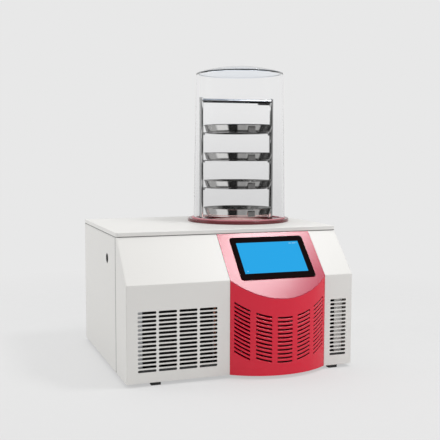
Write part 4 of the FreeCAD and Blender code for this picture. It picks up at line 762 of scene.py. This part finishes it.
def fan():
    """Cambered, pitched blades on a hub."""
    shaft_r, hub_r, tip_r, depth = 3.05, 17.0, 73.0, 14.0
    root, half = 2.0, 0.8               # how deep a blade is let in, and half its thickness
    bm = bmesh.new()
    rows, across = 12, 10
    grid = []
    for side in (0, 1):
        sheet = []
        for i in range(rows + 1):
            r = hub_r - root + (tip_r - hub_r + root) * i / rows
            span = 0.62 - 0.10 * i / rows
            line = []
            for j in range(across + 1):
                t = j / across - 0.5
                a = span * 2 * t + 0.15 * i / rows
                camber = 1.6 * (1 - 4 * t * t)
                height = depth / 2 + (depth - 4.5) * t - camber + (half if side else -half)
                line.append(bm.verts.new((r * math.sin(a), height, r * math.cos(a))))
            sheet.append(line)
        grid.append(sheet)
    for side, sheet in enumerate(grid):
        for i in range(rows):
            for j in range(across):
                bm.faces.new((sheet[i][j], sheet[i][j + 1], sheet[i + 1][j + 1],
                              sheet[i + 1][j]))
    low, high = grid
    rim = [(i, 0) for i in range(rows)] + [(rows, j) for j in range(across)] + \
        [(i, across) for i in range(rows, 0, -1)] + [(0, j) for j in range(across, 0, -1)]
    for (i, j), (m, n) in zip(rim, rim[1:] + rim[:1]):
        bm.faces.new((low[i][j], low[m][n], high[m][n], high[i][j]))
    centre = Vector((sum(CORE_X) / 2, FAN_Y, sum(CORE_Z) / 2))
    made = grown("fan_blade_ring", spoke_tree(), {"Count": BLADES, "Centre": tuple(centre * MM)},
                 MATERIALS["black_plastic"], mesh_from("fan_blade", bm))
    finished(made, "fan", ["fan_blades"])
    outline = rounded([(shaft_r, 0.0, 0.3), (hub_r, 0.0, 2.0), (hub_r, depth, 0.8),
                       (shaft_r, depth, 0.3)], 5)
    hub = turned(outline, 0, 0, 64)
    bmesh.ops.rotate(hub, matrix=Matrix.Rotation(-math.pi / 2, 3, "X"), verts=hub.verts)
    bmesh.ops.translate(hub, vec=centre, verts=hub.verts)
    finished(piece("fan_hub", hub, "black_plastic"), "fan")


# ---- touch screen --------------------------------------------------------------------------

SLOPE = math.atan2(95.5, 92.0)
UP_SLOPE = Vector((0, math.cos(SLOPE), math.sin(SLOPE)))
SLOPE_FOOT, SHEET_HALF = (-236.25, 224.0), 0.5
GLASS_X, GLASS_UP = 84.7, 57.9          # middle of the glass, across and up the slope
GLASS_SIZE, GLASS_CORNER, GLASS_THICK = (186.0, 121.0), 7.0, 1.8
MAP_SIZE = 200.0                        # the glass's map, mm each way


def on_slope(u, v, out):
    """From (across, up the slope, outwards) to the cabinet's slanted face."""
    foot = Vector((u, *SLOPE_FOOT))
    normal = Vector((0, -math.sin(SLOPE), math.cos(SLOPE)))
    return foot + UP_SLOPE * v + normal * (out + SHEET_HALF)


def screen():
    """Black-edged glass; its own map is a square about the middle of the glass."""
    bm = bmesh.new()
    slab(bm, rounded_rectangle(*GLASS_SIZE, GLASS_CORNER), GLASS_THICK,
         lambda u, v, w: on_slope(GLASS_X + u, GLASS_UP + v, w), 0.4)
    made = piece("touch_glass", bm, "black_glass", 30)
    mesh = made.data
    middle = on_slope(GLASS_X, GLASS_UP, 0) * MM
    glass_map = mesh.uv_layers.new(name="UVMap")
    for loop in mesh.loops:
        at = mesh.vertices[loop.vertex_index].co - middle
        glass_map.data[loop.index].uv = (at.x / MM / MAP_SIZE + 0.5,
                                         at.dot(UP_SLOPE) / MM / MAP_SIZE + 0.5)
    finished(made, "machine", ["screen_glass"])


# ---- the pieces that keep their CAD shape --------------------------------------------------

OWN_FINISH = {"left_side_panel": "panel_paint_painted_shade", "right_side_panel": "panel_paint_painted_shade",
              "cold_trap": "trap_steel", "top_plate": "plate_paint_painted_shade"}


def dress_nodes():
    """Give every CAD node the material of its slot, or a finish of its own."""
    for part in frame["record"]["subparts"]:
        mesh = NODES[part["node"]].data
        mesh.materials.clear()
        mesh.materials.append(MATERIALS[OWN_FINISH.get(part["node"], part["material_slot"])])


# ---- camera and lights ---------------------------------------------------------------------

BACKDROP = (0.807, 0.807, 0.807, 1.0)


def camera():
    data = bpy.data.cameras.new("camera")
    data.lens = 64.05
    data.sensor_width = 36.0
    data.shift_x = 0.0271
    data.shift_y = -0.0017
    data.clip_end = 50.0
    made = new_object("camera", data)
    yaw, pitch, roll = math.radians(19.295), math.radians(4.957), math.radians(0.096)
    turn = Matrix.Rotation(-yaw, 4, "Z") @ Matrix.Rotation(math.pi / 2 - pitch, 4, "X") \
        @ Matrix.Rotation(roll, 4, "Z")
    made.matrix_world = Matrix.Translation((-0.6565, -1.8590, 0.5126)) @ turn
    bpy.context.scene.camera = made


def softbox(name, at, aim, width, height, power):
    """A soft rectangular lamp at a place, turned to its aim."""
    data = bpy.data.lights.new(name, "AREA")
    data.shape = "RECTANGLE"
    data.size, data.size_y = width, height
    data.energy = power
    made = new_object(name, data)
    made.location = at
    made.rotation_mode = "QUATERNION"
    made.rotation_quaternion = (Vector(aim) - Vector(at)).to_track_quat("-Z", "Y")


def lights():
    softbox("overhead", (0.86, -0.52, 2.20), (0.06, -0.10, 0.3), 0.52, 0.42, 15.0)
    softbox("top_back", (-0.30, 0.35, 2.30), (-0.05, 0.05, 0.3), 1.2, 0.9, 5.0)
    softbox("left_back", (-2.0, 0.7, 1.2), (-0.1, 0.1, 0.2), 1.0, 1.2, 8.5)
    softbox("right_front", (1.30, -1.30, 0.66), (0.05, -0.2, 0.2), 0.8, 1.3, 2.5)


def seen(tree):
    """1 for rays from the camera, straight, mirrored or through glass; 0 for shed light."""
    path = put(tree, "ShaderNodeLightPath").outputs
    return maths(tree, "MAXIMUM", path["Is Camera Ray"],
                 maths(tree, "MAXIMUM", path["Is Glossy Ray"], path["Is Transmission Ray"]))


def world():
    """A white room that lights the machine, and the even backdrop that is seen instead."""
    room_light = 0.65
    made = bpy.data.worlds.new("studio")
    bpy.context.scene.world = made
    made.use_nodes = True
    tree = made.node_tree
    tree.nodes.clear()
    room = put(tree, "ShaderNodeBackground", {"Color": (1.0, 1.0, 1.0, 1.0),
                                              "Strength": room_light})
    shown = put(tree, "ShaderNodeBackground", {"Color": BACKDROP, "Strength": 1.0})
    mix = put(tree, "ShaderNodeMixShader", {0: seen(tree), 1: room.outputs[0],
                                            2: shown.outputs[0]})
    put(tree, "ShaderNodeOutputWorld", {"Surface": mix.outputs[0]})


# ---- stage ---------------------------------------------------------------------------------


def floor():
    """A pale round floor that fades into the backdrop away from the machine."""
    size, full_to, gone_at, lift = 6.0, 0.6, 1.5, 0.6
    mesh = bpy.data.meshes.new("floor")
    mesh.from_pydata([(-size, -size, 0), (size, -size, 0), (size, size, 0), (-size, size, 0)],
                     [], [(0, 1, 2, 3)])
    made = new_object("floor", mesh)
    paint, tree = blank_material("floor_paint")
    away = put(tree, "ShaderNodeVectorMath", {0: coords(tree)}, operation="LENGTH")
    fade = put(tree, "ShaderNodeMapRange", {"Value": away.outputs["Value"], "From Min": full_to,
                                            "From Max": gone_at})
    bsdf = put(tree, "ShaderNodeBsdfPrincipled", {"Base Color": (0.765, 0.765, 0.765, 1.0),
                                                  "Roughness": 0.9,
                                                  "Specular IOR Level": 0.0})
    plain = put(tree, "ShaderNodeEmission", {"Color": BACKDROP, "Strength": 1.0})
    lifted = put(tree, "ShaderNodeMixShader", {0: maths(tree, "MULTIPLY", seen(tree), lift),
                                               1: bsdf.outputs[0], 2: plain.outputs[0]})
    clear = put(tree, "ShaderNodeBsdfTransparent")
    mix = put(tree, "ShaderNodeMixShader", {0: fade.outputs[0], 1: lifted.outputs[0],
                                            2: clear.outputs[0]})
    put(tree, "ShaderNodeOutputMaterial", {"Surface": mix.outputs[0]})
    mesh.materials.append(paint)


def everywhere(tree):
    return 1.0


def card_paint(name, color, cover=everywhere, through=False):
    """A card that only mirror rays see, on its front side where the cover is 1: it paints
    reflections.

    Through asks for a ray that has crossed clear plastic as well.
    """
    paint, tree = blank_material(name)
    path = put(tree, "ShaderNodeLightPath").outputs
    back = put(tree, "ShaderNodeNewGeometry").outputs["Backfacing"]
    fac = maths(tree, "GREATER_THAN", path["Glossy Depth"], 0.5)
    fac = maths(tree, "MULTIPLY", fac, maths(tree, "SUBTRACT", 1.0, back))
    if through:
        fac = maths(tree, "MULTIPLY", fac,
                    maths(tree, "GREATER_THAN", path["Transmission Depth"], 0.5))
    fac = maths(tree, "MULTIPLY", fac, cover(tree))
    shown = put(tree, "ShaderNodeEmission", {"Color": color(tree), "Strength": 1.0})
    clear = put(tree, "ShaderNodeBsdfTransparent")
    mix = put(tree, "ShaderNodeMixShader", {0: fac, 1: clear.outputs[0], 2: shown.outputs[0]})
    put(tree, "ShaderNodeOutputMaterial", {"Surface": mix.outputs[0]})
    return paint


# Greys and cover of the rack's card at angles from the camera's side, to the right: painted
# reflections in the rack's and trays' steel.
CAMERA_SIDE = -111.5
CARD_GREYS = [(-180, 0.30), (-80, 0.30), (-78, 0.50), (-50, 0.50), (-46, 0.95), (-22, 0.95),
              (-20, 0.015), (-8, 0.03), (-3, 0.01), (0, 0.45), (14, 0.40), (17, 0.50),
              (26, 0.36), (34, 0.48), (46, 0.52), (48, 0.03), (60, 0.06), (66, 0.12), (80, 0.03),
              (94, 0.05), (97, 0.35), (180, 0.35)]
CARD_SIDES = [(-180, 0.0), (-112, 0.0), (-110, 1.0), (112, 1.0), (115, 0.0), (180, 0.0)]
CARD_DARK = (0.015, 0.015, 0.015, 1.0)
CARD_ROWS = [(0.088, 0.3393), (0.1034, 0.3425), (0.1034, 0.666)]     # radius, height
# Windows of the card, as middle and half of a span: round it in turns, and up it in metres.
BETWEEN_TRAYS, OVER_TRAYS, FAR_SIDE = (0.54, 0.19), (0.488, 0.14), (0.479, 0.121)
FIRST_STEP, LOW_PART, TOP_TRAY = 0.3384, 0.33, 0.597
SOFT = 0.001


def ramp(tree, stops):
    """Grey values at angles round the rack's card."""
    made = put(tree, "ShaderNodeValToRGB", {0: on_map(tree)[0]})
    bar = made.color_ramp
    for _ in stops[2:]:
        bar.elements.new(0.5)
    for element, (angle, grey) in zip(bar.elements, stops):
        element.position = (angle + 180.0) / 360.0
        element.color = (grey, grey, grey, 1.0)
    return made.outputs[0]


def card_tone(tree):
    """The greys, with dark in the gaps between the trays and over the highest one: painted
    reflections.
    """
    turn, z = on_map(tree)[:2]
    step = maths(tree, "DIVIDE", maths(tree, "SUBTRACT", z, FIRST_STEP), TRAY_STEP[2])
    between = maths(tree, "GREATER_THAN", maths(tree, "FRACT", step), LOW_PART)
    between = maths(tree, "MULTIPLY", between, inside(tree, turn, *BETWEEN_TRAYS, SOFT))
    over = maths(tree, "GREATER_THAN", z, TOP_TRAY)
    over = maths(tree, "MULTIPLY", over, inside(tree, turn, *OVER_TRAYS, SOFT))
    dark = maths(tree, "MAXIMUM", over, between)
    return put(tree, "ShaderNodeMix", {"Factor": dark, "A": ramp(tree, CARD_GREYS),
                                       "B": CARD_DARK}, data_type="RGBA").outputs["Result"]


def card_cover(tree):
    """The camera's side, and all round at the height of the trays."""
    return maths(tree, "MAXIMUM", ramp(tree, CARD_SIDES),
                 inside(tree, on_map(tree)[1], *FAR_SIDE, SOFT))


def rack_card():
    """A grey strip bent round the rack, seen only in mirror rays: painted reflections of greys
    and dark in the rack's and trays' steel.
    """
    x, y = CHAMBER * MM
    steps, rows = 120, len(CARD_ROWS)
    points = []
    for k in range(steps + 1):
        a = math.radians(CAMERA_SIDE - 180 + 360 * k / steps)
        points += [(x + r * math.cos(a), y + r * math.sin(a), z) for r, z in CARD_ROWS]
    faces = [(rows * k + j, rows * k + j + 1, rows * k + rows + j + 1, rows * k + rows + j)
             for k in range(steps) for j in range(rows - 1)]
    mesh = bpy.data.meshes.new("rack_card")
    mesh.from_pydata(points, [], faces)
    card_map = mesh.uv_layers.new(name="UVMap")
    for loop in mesh.loops:
        k, row = divmod(loop.vertex_index, rows)
        card_map.data[loop.index].uv = (k / steps, CARD_ROWS[row][1])
    mesh.materials.append(card_paint("rack_card", card_tone, card_cover))
    new_object("rack_card", mesh)


def ceiling():
    """A blue-grey card high over the jar, seen only by light that its crown turns back: a painted
    reflection that darkens the crown's edge.
    """
    size, height = 4, 2.6
    mesh = bpy.data.meshes.new("ceiling")
    mesh.from_pydata([(-size, -size, height), (size, -size, height), (size, size, height),
                      (-size, size, height)], [], [(3, 2, 1, 0)])
    mesh.materials.append(card_paint("ceiling", lambda tree: (0.30, 0.35, 0.42, 1.0),
                                     through=True))
    new_object("ceiling", mesh)


def trap_card():
    """A glowing rosy card in the trap's mouth, seen only in mirror rays: a painted reflection
    that lightens the steel round it.
    """
    radius, height, corners = 0.0893, 0.312, 48
    x, y = CHAMBER * MM
    rim = [(x + radius * math.cos(a), y + radius * math.sin(a), height)
           for a in (math.tau * k / corners for k in range(corners))]
    mesh = bpy.data.meshes.new("trap_card")
    mesh.from_pydata(rim, [], [tuple(range(corners))])
    mesh.materials.append(card_paint("trap_card", lambda tree: (1.30, 0.85, 0.82, 1.0)))
    new_object("trap_card", mesh)


camera()
lights()
world()
floor()
rack_card()
ceiling()
trap_card()
dress_nodes()
bell_jar()
collar()
tray()
rack()
support_rings()
condenser()
fan()
screen()

view = bpy.context.scene.view_settings
view.view_transform = "Standard"
